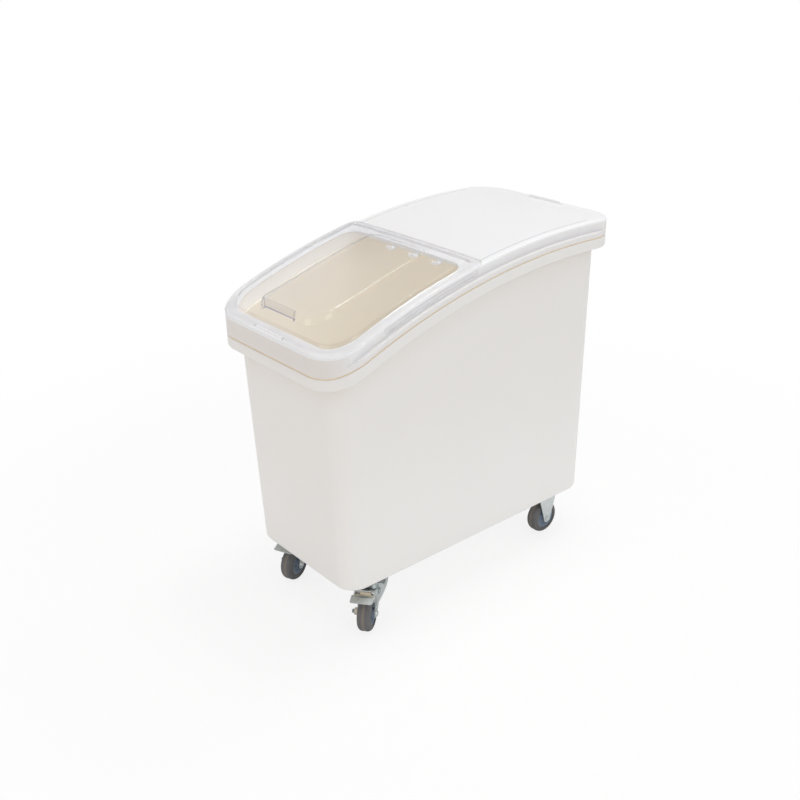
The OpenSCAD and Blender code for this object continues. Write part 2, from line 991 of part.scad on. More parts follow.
module fork(side) {
    color(zinc_colour)
    at_swivel(side)
        difference() {
            union() {
                for (v = [leg_in, -leg_out])
                    upright(v, leg_t)
                        fork_leg_outline();
                translate([-crown_l * crown_back_share, -leg_out, crown_z])
                    cube([crown_l, 2 * leg_out, crown_t]);
                translate([0, 0, crown_z])
                    cylinder(h = crown_t, r = race_r);
                race_ring(crown_z + crown_t / 2, race_low_h + crown_t / 2);
            }
            translate([0, 0, crown_z - cut])
                cylinder(h = crown_t + 2 * cut, r = kingpin_r + run_play);
            axle_hole(trail);
            brake_pin_hole();
        }
}

// Holes across the fork for the axle and for the brake pin
module axle_hole(u) {
    on_axle(u)
        cylinder(h = span, r = axle_r + run_play, center = true);
}

module brake_pin_hole() {
    translate([brake_pin_u, 0, wheel_d + brake_pin_rise])
        rotate([-90, 0, 0])
            cylinder(h = span, r = brake_pin_r + run_play, center = true);
}

// Frame on a wheel's axle, with Z across the wheel
module on_axle(u) {
    translate([u, 0, wheel_r])
        rotate([-90, 0, 0])
            children();
}

// Axle bolt through both legs, its head on the far side
module axle(u) {
    color(zinc_colour)
    on_axle(u) {
        translate([0, 0, leg_out])
            cylinder(h = axle_head_h, r1 = axle_head_r, r2 = axle_head_r * head_taper_share);
        translate([0, 0, -leg_out - axle_nut_h - thread_out])
            cylinder(h = 2 * leg_out + axle_nut_h + thread_out + axle_head_h / 2, r = axle_r);
    }
}

module axle_nut(u) {
    color(zinc_colour)
    on_axle(u)
        translate([0, 0, -leg_out - axle_nut_h])
            difference() {
                hexagon(axle_flats, axle_nut_h);
                translate([0, 0, -cut])
                    cylinder(h = axle_nut_h + 2 * cut, r = axle_r + run_play);
            }
}

// Bush that the wheel turns on, clamped between the legs
module axle_bush(u) {
    color(zinc_colour)
    on_axle(u)
        difference() {
            cylinder(h = 2 * leg_in, r = bush_r, center = true);
            cylinder(h = 2 * (leg_in + cut), r = axle_r + run_play, center = true);
        }
}

// Wheel core: hub, web and rim
module wheel_core(u) {
    rim_w_core = tyre_w - tyre_shoulder_r * core_tuck_share;
    color(core_colour)
    on_axle(u)
        rotate_extrude() {
            translate([bush_r + run_play, -hub_w / 2])
                square([hub_r - bush_r - run_play, hub_w]);
            translate([(bush_r + hub_r) / 2, -core_web_t / 2])
                square([core_r - (bush_r + hub_r) / 2, core_web_t]);
            translate([core_r - core_rim_t, -rim_w_core / 2])
                square([core_rim_t, rim_w_core]);
        }
}

// Tyre with round shoulders
module tyre(u) {
    flat_w = tyre_w - 2 * tyre_shoulder_r;
    color(tyre_colour)
    on_axle(u)
        rotate_extrude() {
            translate([core_r, -tyre_w / 2])
                square([wheel_r - tyre_shoulder_r - core_r, tyre_w]);
            translate([core_r, -flat_w / 2])
                square([wheel_r - core_r, flat_w]);
            for (side = [-1, 1])
                intersection() {
                    translate([wheel_r - tyre_shoulder_r, side * flat_w / 2])
                        circle(tyre_shoulder_r);
                    translate([core_r, -tyre_w / 2])
                        square([wheel_r, tyre_w]);
                }
        }
}

// Sheet of thickness t bent along points
module bent_sheet(points, t) {
    for (i = [0 : len(points) - 2]) {
        run = points[i + 1] - points[i];
        half = t / 2 / norm(run) * [-run[1], run[0]];
        polygon([points[i] + half, points[i + 1] + half, points[i + 1] - half, points[i] - half]);
    }
    for (p = points)
        translate(p)
            circle(t / 2);
}

// Brake pedal: two cheeks on the pin, a roof with a brow, and a bent tread with a rolled end
module brake_pedal(side) {
    pin_z = wheel_d + brake_pin_rise;
    roof = [trail + pedal_roof_u, wheel_d + pedal_roof_rise];
    brow = [trail + pedal_brow_u, wheel_d + pedal_roof_rise];
    back = [trail + tread_back_u, wheel_d + tread_back_rise];
    bend = [trail + tread_bend_u, wheel_d + tread_bend_rise];
    end = [trail + tread_end_u, wheel_d + tread_end_rise];
    tread_out = cheek_out + pedal_over;
    color(zinc_colour)
    at_swivel(side)
        difference() {
            union() {
                for (v = [cheek_in, -cheek_out])
                    upright(v, pedal_t) {
                        translate([brake_pin_u, pin_z])
                            circle(cheek_r);
                        polygon([
                            [brake_pin_u, pin_z - cheek_r], [brake_pin_u, pin_z + cheek_r], roof, brow,
                            bend, [trail + cheek_point_u, wheel_d - cheek_point_drop]
                        ]);
                    }
                upright(-tread_out, 2 * tread_out) {
                    bent_sheet([roof, brow, brow - [0, pedal_brow_drop]], pedal_t);
                    bent_sheet([back, bend, end], pedal_t);
                    translate(end)
                        circle(pedal_roll_r);
                }
            }
            brake_pin_hole();
            brake_bar_place()
                cylinder(h = span, r = brake_bar_r * bar_neck_share + run_play, center = true);
        }
}

module brake_bar_place() {
    translate([trail + brake_bar_u, 0, wheel_d + brake_bar_rise])
        rotate([-90, 0, 0])
            children();
}

// Brake bar between the cheeks, with thinner ends riveted in them
module brake_bar(side) {
    color(zinc_colour)
    at_swivel(side)
        brake_bar_place() {
            cylinder(h = 2 * cheek_in, r = brake_bar_r, center = true);
            cylinder(h = 2 * cheek_out, r = brake_bar_r * bar_neck_share, center = true);
        }
}

// Brake pin through the fork's legs and the pedal's cheeks, with a head at each end
module brake_pin(side) {
    color(zinc_colour)
    at_swivel(side)
        translate([brake_pin_u, 0, wheel_d + brake_pin_rise])
            rotate([-90, 0, 0]) {
                cylinder(h = 2 * (cheek_out + pedal_gap + pedal_t), r = brake_pin_r, center = true);
                for (end = [0, 1])
                    mirror([0, 0, end])
                        translate([0, 0, cheek_out + pedal_gap])
                            cylinder(h = pedal_t, r = cheek_r);
            }
}

// Fixed fork of a rear caster: plate and two tapered legs
module rear_fork(side) {
    color(zinc_colour)
    difference() {
        union() {
            translate([side * rear_x, rear_back, 0])
                mounting_plate();
            at_rear(side)
                for (v = [leg_in, -leg_out])
                    upright(v, leg_t) {
                        polygon([
                            [-fixed_leg_w / 2, plate_z + plate_t / 2], [fixed_leg_w / 2, plate_z + plate_t / 2],
                            [leg_boss_r, wheel_r], [-leg_boss_r, wheel_r]
                        ]);
                        translate([0, wheel_r])
                            circle(leg_boss_r);
                    }
        }
        at_rear(side)
            axle_hole(0);
    }
}

tub();
cover();
clear_lid();
plate_bolts();
plate_washers();
plate_nuts();
swivel_plate(-1);  // swivel_plate_left
kingpin(-1);  // kingpin_left
swivel_balls(-1);  // swivel_balls_left
fork(-1);  // fork_left
at_swivel(-1) axle(trail);  // axle_left
at_swivel(-1) axle_nut(trail);  // axle_nut_left
at_swivel(-1) axle_bush(trail);  // axle_bush_left
at_swivel(-1) wheel_core(trail);  // wheel_core_left
at_swivel(-1) tyre(trail);  // tyre_left
brake_pedal(-1);  // brake_pedal_left
brake_bar(-1);  // brake_bar_left
brake_pin(-1);  // brake_pin_left
swivel_plate(1);  // swivel_plate_right
kingpin(1);  // kingpin_right
swivel_balls(1);  // swivel_balls_right
fork(1);  // fork_right
at_swivel(1) axle(trail);  // axle_right
at_swivel(1) axle_nut(trail);  // axle_nut_right
at_swivel(1) axle_bush(trail);  // axle_bush_right
at_swivel(1) wheel_core(trail);  // wheel_core_right
at_swivel(1) tyre(trail);  // tyre_right
brake_pedal(1);  // brake_pedal_right
brake_bar(1);  // brake_bar_right
brake_pin(1);  // brake_pin_right
rear_fork(-1);  // rear_fork_left
at_rear(-1) axle(0);  // rear_axle_left
at_rear(-1) axle_nut(0);  // rear_nut_left
at_rear(-1) axle_bush(0);  // rear_bush_left
at_rear(-1) wheel_core(0);  // rear_core_left
at_rear(-1) tyre(0);  // rear_tyre_left
rear_fork(1);  // rear_fork_right
at_rear(1) axle(0);  // rear_axle_right
at_rear(1) axle_nut(0);  // rear_nut_right
at_rear(1) axle_bush(0);  // rear_bush_right
at_rear(1) wheel_core(0);  // rear_core_right
at_rear(1) tyre(0);  // rear_tyre_right
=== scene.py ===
"""Dresses the rolling flour bin: tub, cover, clear sliding lid and casters, in a plain pale studio."""

import logging
import math
from dataclasses import dataclass
from enum import Enum, IntEnum
from typing import Callable, Iterable, Sequence

import bmesh
import bpy
from mathutils import Matrix, Vector
from mathutils.geometry import delaunay_2d_cdt


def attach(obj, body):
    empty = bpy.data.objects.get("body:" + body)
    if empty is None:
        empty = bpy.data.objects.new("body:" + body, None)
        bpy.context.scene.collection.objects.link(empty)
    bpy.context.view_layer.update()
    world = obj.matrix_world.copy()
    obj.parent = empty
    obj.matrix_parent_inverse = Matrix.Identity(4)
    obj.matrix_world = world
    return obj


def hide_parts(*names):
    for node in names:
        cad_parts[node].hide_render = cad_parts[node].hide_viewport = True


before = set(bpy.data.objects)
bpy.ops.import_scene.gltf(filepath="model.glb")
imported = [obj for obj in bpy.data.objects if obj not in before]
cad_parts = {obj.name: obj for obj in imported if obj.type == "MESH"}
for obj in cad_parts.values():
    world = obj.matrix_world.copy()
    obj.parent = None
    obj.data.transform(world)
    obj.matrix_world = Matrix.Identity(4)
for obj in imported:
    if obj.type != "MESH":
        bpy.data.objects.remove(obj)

LOG = logging.getLogger("flour_bin")
MM = 0.001
QUARTER = math.pi / 2
LAID_DOWN = Matrix.Rotation(-QUARTER, 4, "X")
WHITE = (1.0, 1.0, 1.0, 1.0)
Flat = tuple[float, float]
Solid = tuple[float, float, float]
Colour = tuple[float, float, float]
Feed = bpy.types.NodeSocket | float | tuple[float, ...]


class Side(Enum):
    """Left and right of the bin, seen from its front."""

    LEFT = "left"
    RIGHT = "right"

    @property
    def sign(self) -> int:
        """The sign of X on this side."""
        return -1 if self is Side.LEFT else 1


class Slot(Enum):
    """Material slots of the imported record."""

    TUB = "tub_plastic"
    COVER = "cover_plastic"
    LID = "lid_plastic"
    ZINC = "zinc_steel"
    TYRE = "tyre_rubber"
    CORE = "core_plastic"


class TubFace(IntEnum):
    """Material indices of the tub's faces."""

    OUTSIDE = 0
    INSIDE = 1
    RIM_EDGE = 2


class CoverFace(IntEnum):
    """Material indices of the cover's faces."""

    TOP = 0
    INSIDE = 1
    SKIRT = 2
    GROOVE = 3


class LidFace(IntEnum):
    """Material indices of the clear lid's faces."""

    PANEL = 0
    EDGE = 1
    POCKET = 2
    BORDER = 3
    CUT = 4


class TyreFace(IntEnum):
    """Material indices of a tyre's faces."""

    TREAD = 0
    SEAM = 1


class Stretch(Enum):
    """Stretches of a rounded rectangle, in the order in which an outline runs round it."""

    RIGHT = 0
    REAR_RIGHT = 1
    REAR = 2
    REAR_LEFT = 3
    LEFT = 4
    FRONT_LEFT = 5
    FRONT = 6
    FRONT_RIGHT = 7


Station = tuple[Stretch, float]
CORNER_TURN = {Stretch.REAR_RIGHT: 0, Stretch.REAR_LEFT: 1, Stretch.FRONT_LEFT: 2, Stretch.FRONT_RIGHT: 3}


def smooth(t: float) -> float:
    """A soft step from 0 to 1."""
    t = min(max(t, 0.0), 1.0)
    return t * t * (3 - 2 * t)


def mix(a: float, b: float, t: float) -> float:
    """The value a share t of the way from a to b."""
    return a + (b - a) * t


def sweep(turn: float, steps: int) -> list[float]:
    """Angles from 0 to a turn, in equal steps."""
    return [k * turn / steps for k in range(steps + 1)]


@dataclass(frozen=True)
class Crest:
    """The long curve that the rim and the cover follow, levelled at its front end.

    Sizes are in millimetres; base_h is the height over the rim at which front_r is measured.
    """

    tilt: float
    front_r: float
    base_h: float
    centre_y: float = 249.0
    centre_z: float = -715.0
    radius: float = 1428.0

    def z(self, y: float, h: float) -> float:
        """Height over the floor.

        Args:
            y: Place along the bin.
            h: Height over the rim's curve.

        Returns:
            The height in millimetres.
        """
        lean = math.radians(self.tilt)
        reach = self.radius + h
        if y >= self.centre_y - reach * math.sin(lean):
            return self.centre_z + math.sqrt(reach**2 - (y - self.centre_y) ** 2)
        hub = self.radius + self.base_h + self.front_r
        hub_y = self.centre_y - hub * math.sin(lean)
        hub_z = self.centre_z + hub * math.cos(lean)
        return hub_z - math.sqrt(max((hub - reach) ** 2 - (y - hub_y) ** 2, 0.0))


RIM = Crest(tilt=24.7, front_r=93.0, base_h=0.0)
TOP = Crest(tilt=23.4, front_r=98.0, base_h=36.0)


@dataclass(frozen=True)
class Outline:
    """A rounded rectangle in plan, with one corner radius at the front and one at the rear."""

    half_w: float
    front: float
    rear: float
    front_r: float
    rear_r: float
    corner_steps: int = 14
    side_steps: int = 56
    end_steps: int = 18
    least_r: float = 3.0

    def stations(self) -> list[Station]:
        """Lists the stations of the outline.

        Returns:
            The stretch and the share along it of every point.
        """
        found = []
        for stretch in Stretch:
            if stretch in (Stretch.RIGHT, Stretch.LEFT):
                steps = self.side_steps
            elif stretch in (Stretch.REAR, Stretch.FRONT):
                steps = self.end_steps
            else:
                steps = self.corner_steps
            found += [(stretch, k / steps) for k in range(steps)]
        return found

    def at(self, stretch: Stretch, share: float, inset: float = 0.0) -> Flat:
        """A point of the outline.

        Args:
            stretch: The stretch that it lies on.
            share: How far along the stretch it lies.
            inset: How far inside the outline it lies.

        Returns:
            Its place in plan.
        """
        half = self.half_w - inset
        y0, y1 = self.front + inset, self.rear - inset
        r0 = max(self.front_r - inset, self.least_r)
        r1 = max(self.rear_r - inset, self.least_r)
        if stretch is Stretch.RIGHT:
            return half, mix(y0 + r0, y1 - r1, share)
        if stretch is Stretch.LEFT:
            return -half, mix(y1 - r1, y0 + r0, share)
        if stretch is Stretch.REAR:
            return mix(half - r1, r1 - half, share), y1
        if stretch is Stretch.FRONT:
            return mix(r0 - half, half - r0, share), y0
        angle = (CORNER_TURN[stretch] + share) * math.pi / 2
        rear = stretch in (Stretch.REAR_RIGHT, Stretch.REAR_LEFT)
        r = r1 if rear else r0
        right = stretch in (Stretch.REAR_RIGHT, Stretch.FRONT_RIGHT)
        cx = half - r if right else r - half
        cy = y1 - r1 if rear else y0 + r0
        return cx + r * math.cos(angle), cy + r * math.sin(angle)

    def loop(self, inset: float = 0.0) -> list[Flat]:
        """All points of the outline at one inset."""
        return [self.at(stretch, share, inset) for stretch, share in self.stations()]


BIN_OUTLINE = Outline(half_w=200.0, front=-375.0, rear=375.0, front_r=79.0, rear_r=79.0)


def inside(point: Flat, loop: Sequence[Flat]) -> bool:
    """Whether a point lies inside a closed loop.

    Args:
        point: The point in plan.
        loop: The loop's points in order.

    Returns:
        True if it lies inside.
    """
    x, y = point
    hit = False
    for (ax, ay), (bx, by) in zip(loop, list(loop[1:]) + [loop[0]]):
        if (ay > y) != (by > y) and x < (bx - ax) * (y - ay) / (by - ay) + ax:
            hit = not hit
    return hit


def between(point: Flat, loops: Sequence[Sequence[Flat]]) -> bool:
    """Whether a point lies inside the first loop and outside all others."""
    return inside(point, loops[0]) and not any(inside(point, hole) for hole in loops[1:])


def clear_of(point: Flat, loop: Sequence[Flat], gap: float) -> bool:
    """Whether a point keeps a gap from every point of a loop."""
    x, y = point
    return all((x - a) ** 2 + (y - b) ** 2 > gap * gap for a, b in loop)


def placed(name: str, data: bpy.types.ID) -> bpy.types.Object:
    """Puts an object into the scene.

    Args:
        name: Name of the object.
        data: Its mesh, lamp or lens.

    Returns:
        The new object.
    """
    made = bpy.data.objects.new(name, data)
    bpy.context.scene.collection.objects.link(made)
    return made


class Draft:
    """A mesh in the making, in millimetres in the bin's frame.

    A skin's triangles first cover the whole plan, and its points closer than weld become one.
    """

    whole_plan = 0
    weld = 1e-6

    def __init__(self) -> None:
        """Starts an empty mesh."""
        self.bm = bmesh.new()

    def ring(self, points: Iterable[Solid]) -> list[bmesh.types.BMVert]:
        """Adds a loop of points and returns its vertices."""
        return [self.bm.verts.new(p) for p in points]

    def bridge(self, a: Sequence, b: Sequence, material: int = 0) -> None:
        """Joins two closed loops of equal length with quads.

        Args:
            a: The first loop's vertices.
            b: The second loop's vertices.
            material: The material index of the new faces.
        """
        count = len(a)
        for i in range(count):
            j = (i + 1) % count
            face = self.bm.faces.new((a[i], a[j], b[j], b[i]))
            face.material_index = material

    def loft(self, rings: Sequence[Sequence[Solid]], material: int = 0) -> list:
        """Joins a row of loops.

        Args:
            rings: The points of each loop.
            material: The material index of the new faces.

        Returns:
            The vertices of each loop.
        """
        made = [self.ring(points) for points in rings]
        for a, b in zip(made, made[1:]):
            self.bridge(a, b, material)
        return made

    def cap(self, ring: Sequence) -> None:
        """Closes a flat loop with one face."""
        self.bm.faces.new(ring)

    def closed_loft(self, rings: Sequence[Sequence[Solid]]) -> None:
        """Joins a row of loops and closes both ends.

        Args:
            rings: The points of each loop.
        """
        made = self.loft(rings)
        self.cap(made[0])
        self.cap(made[-1])

    def lathe(self, profile: Sequence[Flat], place: Matrix, turns: int = 96,
              materials: Sequence[int] | None = None) -> None:
        """Turns a closed profile about an axle.

        Args:
            profile: Points as radius and place along the axle.
            place: Frame of the axle, with Z along it.
            turns: Number of steps round the axle.
            materials: Material index of each stretch of the profile.
        """
        angles = [2 * math.pi * k / turns for k in range(turns)]
        rows = [self.ring(place @ Vector((r * math.cos(a), r * math.sin(a), v)) for a in angles)
                for r, v in profile]
        for i, row in enumerate(rows):
            self.bridge(row, rows[(i + 1) % len(rows)], materials[i] if materials else 0)

    def skin(self, outer: Sequence, holes: Sequence[Sequence], height: Callable[[float, float], float],
             pitch: float, material: int = 0) -> None:
        """Fills the plan between a loop and its holes with a fine curved skin.

        Args:
            outer: Vertices of the outer loop.
            holes: Vertices of each hole's loop.
            height: Height of the skin at a place in plan.
            pitch: Distance between the skin's inner points.
            material: The material index of the new faces.
        """
        loops = [list(outer)] + [list(h) for h in holes]
        flat = [[(v.co.x, v.co.y) for v in loop] for loop in loops]
        verts = [v for loop in loops for v in loop]
        coords = [Vector(p) for loop in flat for p in loop]
        edges, start = [], 0
        for loop in flat:
            count = len(loop)
            edges += [(start + i, start + (i + 1) % count) for i in range(count)]
            start += count
        xs = [p[0] for p in flat[0]]
        ys = [p[1] for p in flat[0]]
        for row in range(1, int((max(ys) - min(ys)) / pitch) + 1):
            for col in range(1, int((max(xs) - min(xs)) / pitch) + 1):
                p = (min(xs) + col * pitch, min(ys) + row * pitch)
                if between(p, flat) and all(clear_of(p, loop, pitch / 2) for loop in flat):
                    coords.append(Vector(p))
        out, _, faces, origins, _, _ = delaunay_2d_cdt(coords, edges, [], self.whole_plan, self.weld)
        made = []
        for place, origin in zip(out, origins):
            known = [i for i in origin if i < len(verts)]
            if known:
                made.append(verts[known[0]])
            else:
                made.append(self.bm.verts.new((place.x, place.y, height(place.x, place.y))))
        for face in faces:
            mid = (sum(out[i].x for i in face) / 3, sum(out[i].y for i in face) / 3)
            if between(mid, flat):
                self.bm.faces.new([made[i] for i in face]).material_index = material

    def piece(self, name: str, finishes: Sequence["Finish"], body: str,
              stands_for: Sequence[str] = (), crease: float = 38.0, outward: bool = True) -> bpy.types.Object:
        """Turns the draft into a piece that rides on a body.

        Args:
            name: Name of the piece.
            finishes: Its materials, by index.
            body: The body that it rides on.
            stands_for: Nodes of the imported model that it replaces.
            crease: Edges sharper than this angle in degrees stay sharp.
            outward: Whether the faces are turned outwards first.

        Returns:
            The new object.
        """
        if outward:
            bmesh.ops.recalc_face_normals(self.bm, faces=self.bm.faces)
        bmesh.ops.scale(self.bm, vec=(MM, MM, MM), verts=self.bm.verts)
        self.bm.normal_update()
        limit = math.radians(crease)
        for face in self.bm.faces:
            face.smooth = True
        for edge in self.bm.edges:
            edge.smooth = len(edge.link_faces) != 2 or edge.calc_face_angle(0.0) < limit
        mesh = bpy.data.meshes.new(name)
        self.bm.to_mesh(mesh)
        self.bm.free()
        for finish in finishes:
            mesh.materials.append(finish.material())
        made = placed(name, mesh)
        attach(made, body)
        if stands_for:
            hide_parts(*stands_for)
        LOG.info("%s: %d faces on %s", name, len(mesh.polygons), body)
        return made


# Shader groups and finishes


def rgba(colour: Colour) -> tuple[float, ...]:
    """A colour with full cover."""
    return (*colour, 1.0)


class Bench:
    """Adds nodes to a shader tree, with their inputs set or linked in one step."""

    def __init__(self, tree: bpy.types.ShaderNodeTree) -> None:
        """Takes the tree to work on."""
        self.tree = tree

    def feed(self, node: bpy.types.Node, inputs: dict[str | int, Feed]) -> None:
        """Sets or links inputs of a node.

        Args:
            node: The node.
            inputs: By name or place of an input, the value to set or the output to link.
        """
        for key, value in inputs.items():
            if isinstance(value, bpy.types.NodeSocket):
                self.tree.links.new(value, node.inputs[key])
            else:
                node.inputs[key].default_value = value

    def add(self, kind: str, inputs: dict[str | int, Feed] | None = None,
            **settings: object) -> bpy.types.Node:
        """Adds a node.

        Args:
            kind: Type of the node.
            inputs: By name or place of an input, the value to set or the output to link.
            **settings: The node's own settings.

        Returns:
            The new node.
        """
        node = self.tree.nodes.new(kind)
        for name, value in settings.items():
            setattr(node, name, value)
        self.feed(node, inputs or {})
        return node

    def maths(self, operation: str, a: Feed, b: Feed) -> bpy.types.NodeSocket:
        """Result of one operation on two values."""
        return self.add("ShaderNodeMath", {0: a, 1: b}, operation=operation).outputs["Value"]

    def blend(self, share: Feed, a: Feed, b: Feed, how: str = "MIX") -> bpy.types.NodeSocket:
        """Mix of two colours; the numbers are the places of the node's colour sockets."""
        node = self.add("ShaderNodeMix", {0: share, 6: a, 7: b}, data_type="RGBA", blend_type=how)
        return node.outputs[2]

    def spread(self, value: Feed, source: tuple[Feed, Feed] = (0.0, 1.0),
               target: tuple[Feed, Feed] = (0.0, 1.0), how: str = "LINEAR") -> bpy.types.NodeSocket:
        """Maps a value from one range to another.

        Args:
            value: The value.
            source: Ends of the range that it comes from.
            target: Ends of the range that it goes to.
            how: The node's way of passing from one end to the other.

        Returns:
            The node's output.
        """
        node = self.add("ShaderNodeMapRange", {
            "Value": value, "From Min": source[0], "From Max": source[1],
            "To Min": target[0], "To Max": target[1],
        }, interpolation_type=how)
        return node.outputs["Result"]


class Groups:
    """Shader node groups that more than one finish uses, each built once."""

    made: dict[str, bpy.types.ShaderNodeTree] = {}
    cloud_detail = 4.0
    cloud_range = (0.3, 0.7)
    grain_detail = 2.0
    # Depth, samples and tint of the painted shade in crevices, range and tint of the painted shade on
    # front-facing faces, and height range and tint of the painted light near the floor.
    crevice_shade_depth = 0.07
    crevice_shade_samples = 8
    crevice_shade_tint = (0.84, 0.77, 0.68)
    front_shade_range = (-0.25, -0.95)
    front_shade_tint = (0.94, 0.888, 0.86)
    floor_light_range = (0.5, 0.12)
    floor_light_tint = (1.05, 1.065, 1.075)

    @classmethod
    def started(cls, name: str, inputs: dict[str, Feed], outputs: dict[str, str]) -> Bench:
        """Starts a group with its sockets.

        Args:
            name: Name of the group.
            inputs: Its inputs with their first values, a number or a colour.
            outputs: Its outputs with their kinds.

        Returns:
            A bench for the group's tree.
        """
        tree = bpy.data.node_groups.new(name, "ShaderNodeTree")
        for title, value in inputs.items():
            kind = "NodeSocketFloat" if isinstance(value, float) else "NodeSocketColor"
            tree.interface.new_socket(title, in_out="INPUT", socket_type=kind).default_value = value
        for title, kind in outputs.items():
            tree.interface.new_socket(title, in_out="OUTPUT", socket_type=kind)
        cls.made[name] = tree
        return Bench(tree)

    @classmethod
    def variation(cls) -> bpy.types.ShaderNodeTree:
        """Soft mottling between two colours, with a roughness and a fine height that follow it.

        Returns:
            The group.
        """
        if "soft_variation" in cls.made:
            return cls.made["soft_variation"]
        bench = cls.started(
            "soft_variation",
            {"Colour A": WHITE, "Colour B": WHITE, "Cloud Scale": 8.0, "Grain Scale": 900.0,
             "Smoothest": 0.3, "Roughest": 0.5},
            {"Colour": "NodeSocketColor", "Roughness": "NodeSocketFloat", "Height": "NodeSocketFloat"})
        given = bench.add("NodeGroupInput").outputs
        place = bench.add("ShaderNodeTexCoord").outputs["Object"]
        cloud = bench.add("ShaderNodeTexNoise", {
            "Vector": place, "Scale": given["Cloud Scale"], "Detail": cls.cloud_detail}).outputs["Fac"]
        grain = bench.add("ShaderNodeTexNoise", {
            "Vector": place, "Scale": given["Grain Scale"], "Detail": cls.grain_detail}).outputs["Fac"]
        bench.add("NodeGroupOutput", {
            "Colour": bench.blend(cloud, given["Colour A"], given["Colour B"]),
            "Roughness": bench.spread(cloud, cls.cloud_range, (given["Smoothest"], given["Roughest"])),
            "Height": grain})
        return bench.tree

    @classmethod
    def painted_shade_and_light(cls) -> bpy.types.ShaderNodeTree:
        """Painted shade and light on a moulding: painted shade in crevices and on front faces, painted light
        low down.

        Returns:
            The group.
        """
        if "painted_shade_and_light_tone" in cls.made:
            return cls.made["painted_shade_and_light_tone"]
        bench = cls.started("painted_shade_and_light_tone", {"Colour": WHITE, "Crevice Shade": 0.0, "Front Shade": 0.0, "Floor Light": 0.0},
                            {"Colour": "NodeSocketColor"})
        given = bench.add("NodeGroupInput").outputs
        closed = bench.add("ShaderNodeAmbientOcclusion", {"Distance": cls.crevice_shade_depth},
                           samples=cls.crevice_shade_samples)
        facing = bench.add("ShaderNodeSeparateXYZ", {
            "Vector": bench.add("ShaderNodeNewGeometry").outputs["Normal"]})
        place = bench.add("ShaderNodeSeparateXYZ", {
            "Vector": bench.add("ShaderNodeTexCoord").outputs["Object"]})
        colour = given["Colour"]
        # Painted shade in crevices from occlusion, painted shade on front faces, and painted light low down
        # near the floor.
        for name, share, tint in (
            ("Crevice Shade", bench.maths("SUBTRACT", 1.0, closed.outputs["AO"]), cls.crevice_shade_tint),
            ("Front Shade", bench.spread(facing.outputs["Y"], cls.front_shade_range, how="SMOOTHSTEP"), cls.front_shade_tint),
            ("Floor Light", bench.spread(place.outputs["Z"], cls.floor_light_range, how="SMOOTHSTEP"), cls.floor_light_tint),
        ):
            amount = bench.maths("MULTIPLY", share, given[name])
            colour = bench.blend(amount, colour, rgba(tint), "MULTIPLY")
        bench.add("NodeGroupOutput", {"Colour": colour})
        return bench.tree


@dataclass(frozen=True)
class Finish:
    """A finish with mottled colour, varied roughness and a fine grain.

    Colours are linear; grain is the height of the fine grain in metres, and glow is painted light: an
    emission for the light that thin plastic lets through from its other side. Crevice shade and front give
    painted shade, low painted light.
    """

    name: str
    colour_a: Colour
    colour_b: Colour
    cloud_scale: float = 8.0
    grain_scale: float = 900.0
    smoothest: float = 0.3
    roughest: float = 0.45
    metallic: float = 0.0
    grain: float = 0.00002
    grain_strength: float = 0.35
    specular: float = 0.5
    subsurface: float = 0.0
    scatter: Colour = (1.0, 0.85, 0.62)
    scatter_scale: float = 0.03
    # Painted light: an emission in the finish's own colour.
    glow: float = 0.0
    # Shares of painted shade in crevices and on front faces, and of painted light low down.
    crevice_shade: float = 0.0
    front: float = 0.0
    low: float = 0.0

    def material(self) -> bpy.types.Material:
        """The Blender material of this finish, made once.

        Returns:
            The material.
        """
        made = bpy.data.materials.get(self.name)
        if made is None:
            made = bpy.data.materials.new(self.name)
            made.use_nodes = True
            self.dress(Bench(made.node_tree), made.node_tree.nodes["Principled BSDF"])
        return made

    def dress(self, bench: Bench, shader: bpy.types.Node) -> None:
        """Feeds the shader of the material.

        Args:
            bench: Bench of the material's tree.
            shader: The material's shader.
        """
        mottled = bench.add("ShaderNodeGroup", {
            "Colour A": rgba(self.colour_a), "Colour B": rgba(self.colour_b), "Cloud Scale": self.cloud_scale,
            "Grain Scale": self.grain_scale, "Smoothest": self.smoothest, "Roughest": self.roughest,
        }, node_tree=Groups.variation()).outputs
        colour = mottled["Colour"]
        # Painted shade in crevices and on front faces, and painted light low down near the floor.
        if self.crevice_shade or self.front or self.low:
            colour = bench.add("ShaderNodeGroup", {
                "Colour": colour, "Crevice Shade": self.crevice_shade, "Front Shade": self.front, "Floor Light": self.low,
            }, node_tree=Groups.painted_shade_and_light()).outputs["Colour"]
        bump = bench.add("ShaderNodeBump", {
            "Strength": self.grain_strength, "Distance": self.grain, "Height": mottled["Height"]})
        bench.feed(shader, {
            "Base Color": colour, "Roughness": mottled["Roughness"], "Metallic": self.metallic,
            "Specular IOR Level": self.specular, "Normal": bump.outputs["Normal"]})
        if self.subsurface:
            bench.feed(shader, {"Subsurface Weight": self.subsurface, "Subsurface Radius": self.scatter,
                                "Subsurface Scale": self.scatter_scale})
        # Painted light: the surface glows in its own mottled colour.
        if self.glow:
            bench.feed(shader, {"Emission Color": mottled["Colour"], "Emission Strength": self.glow})


@dataclass(frozen=True)
class MouldedFinish(Finish):
    """White moulded plastic with wide, faint clouds."""

    cloud_scale: float = 5.0
    smoothest: float = 0.38
    roughest: float = 0.5


@dataclass(frozen=True)
class ZincFinish(Finish):
    """Zinc plate with small flecks of varied tone."""

    cloud_scale: float = 60.0
    grain_scale: float = 1800.0
    smoothest: float = 0.24
    roughest: float = 0.4
    metallic: float = 1.0


@dataclass(frozen=True)
class RubberFinish(Finish):
    """Matte moulded rubber."""

    cloud_scale: float = 40.0
    grain_scale: float = 2200.0
    smoothest: float = 0.5
    roughest: float = 0.65


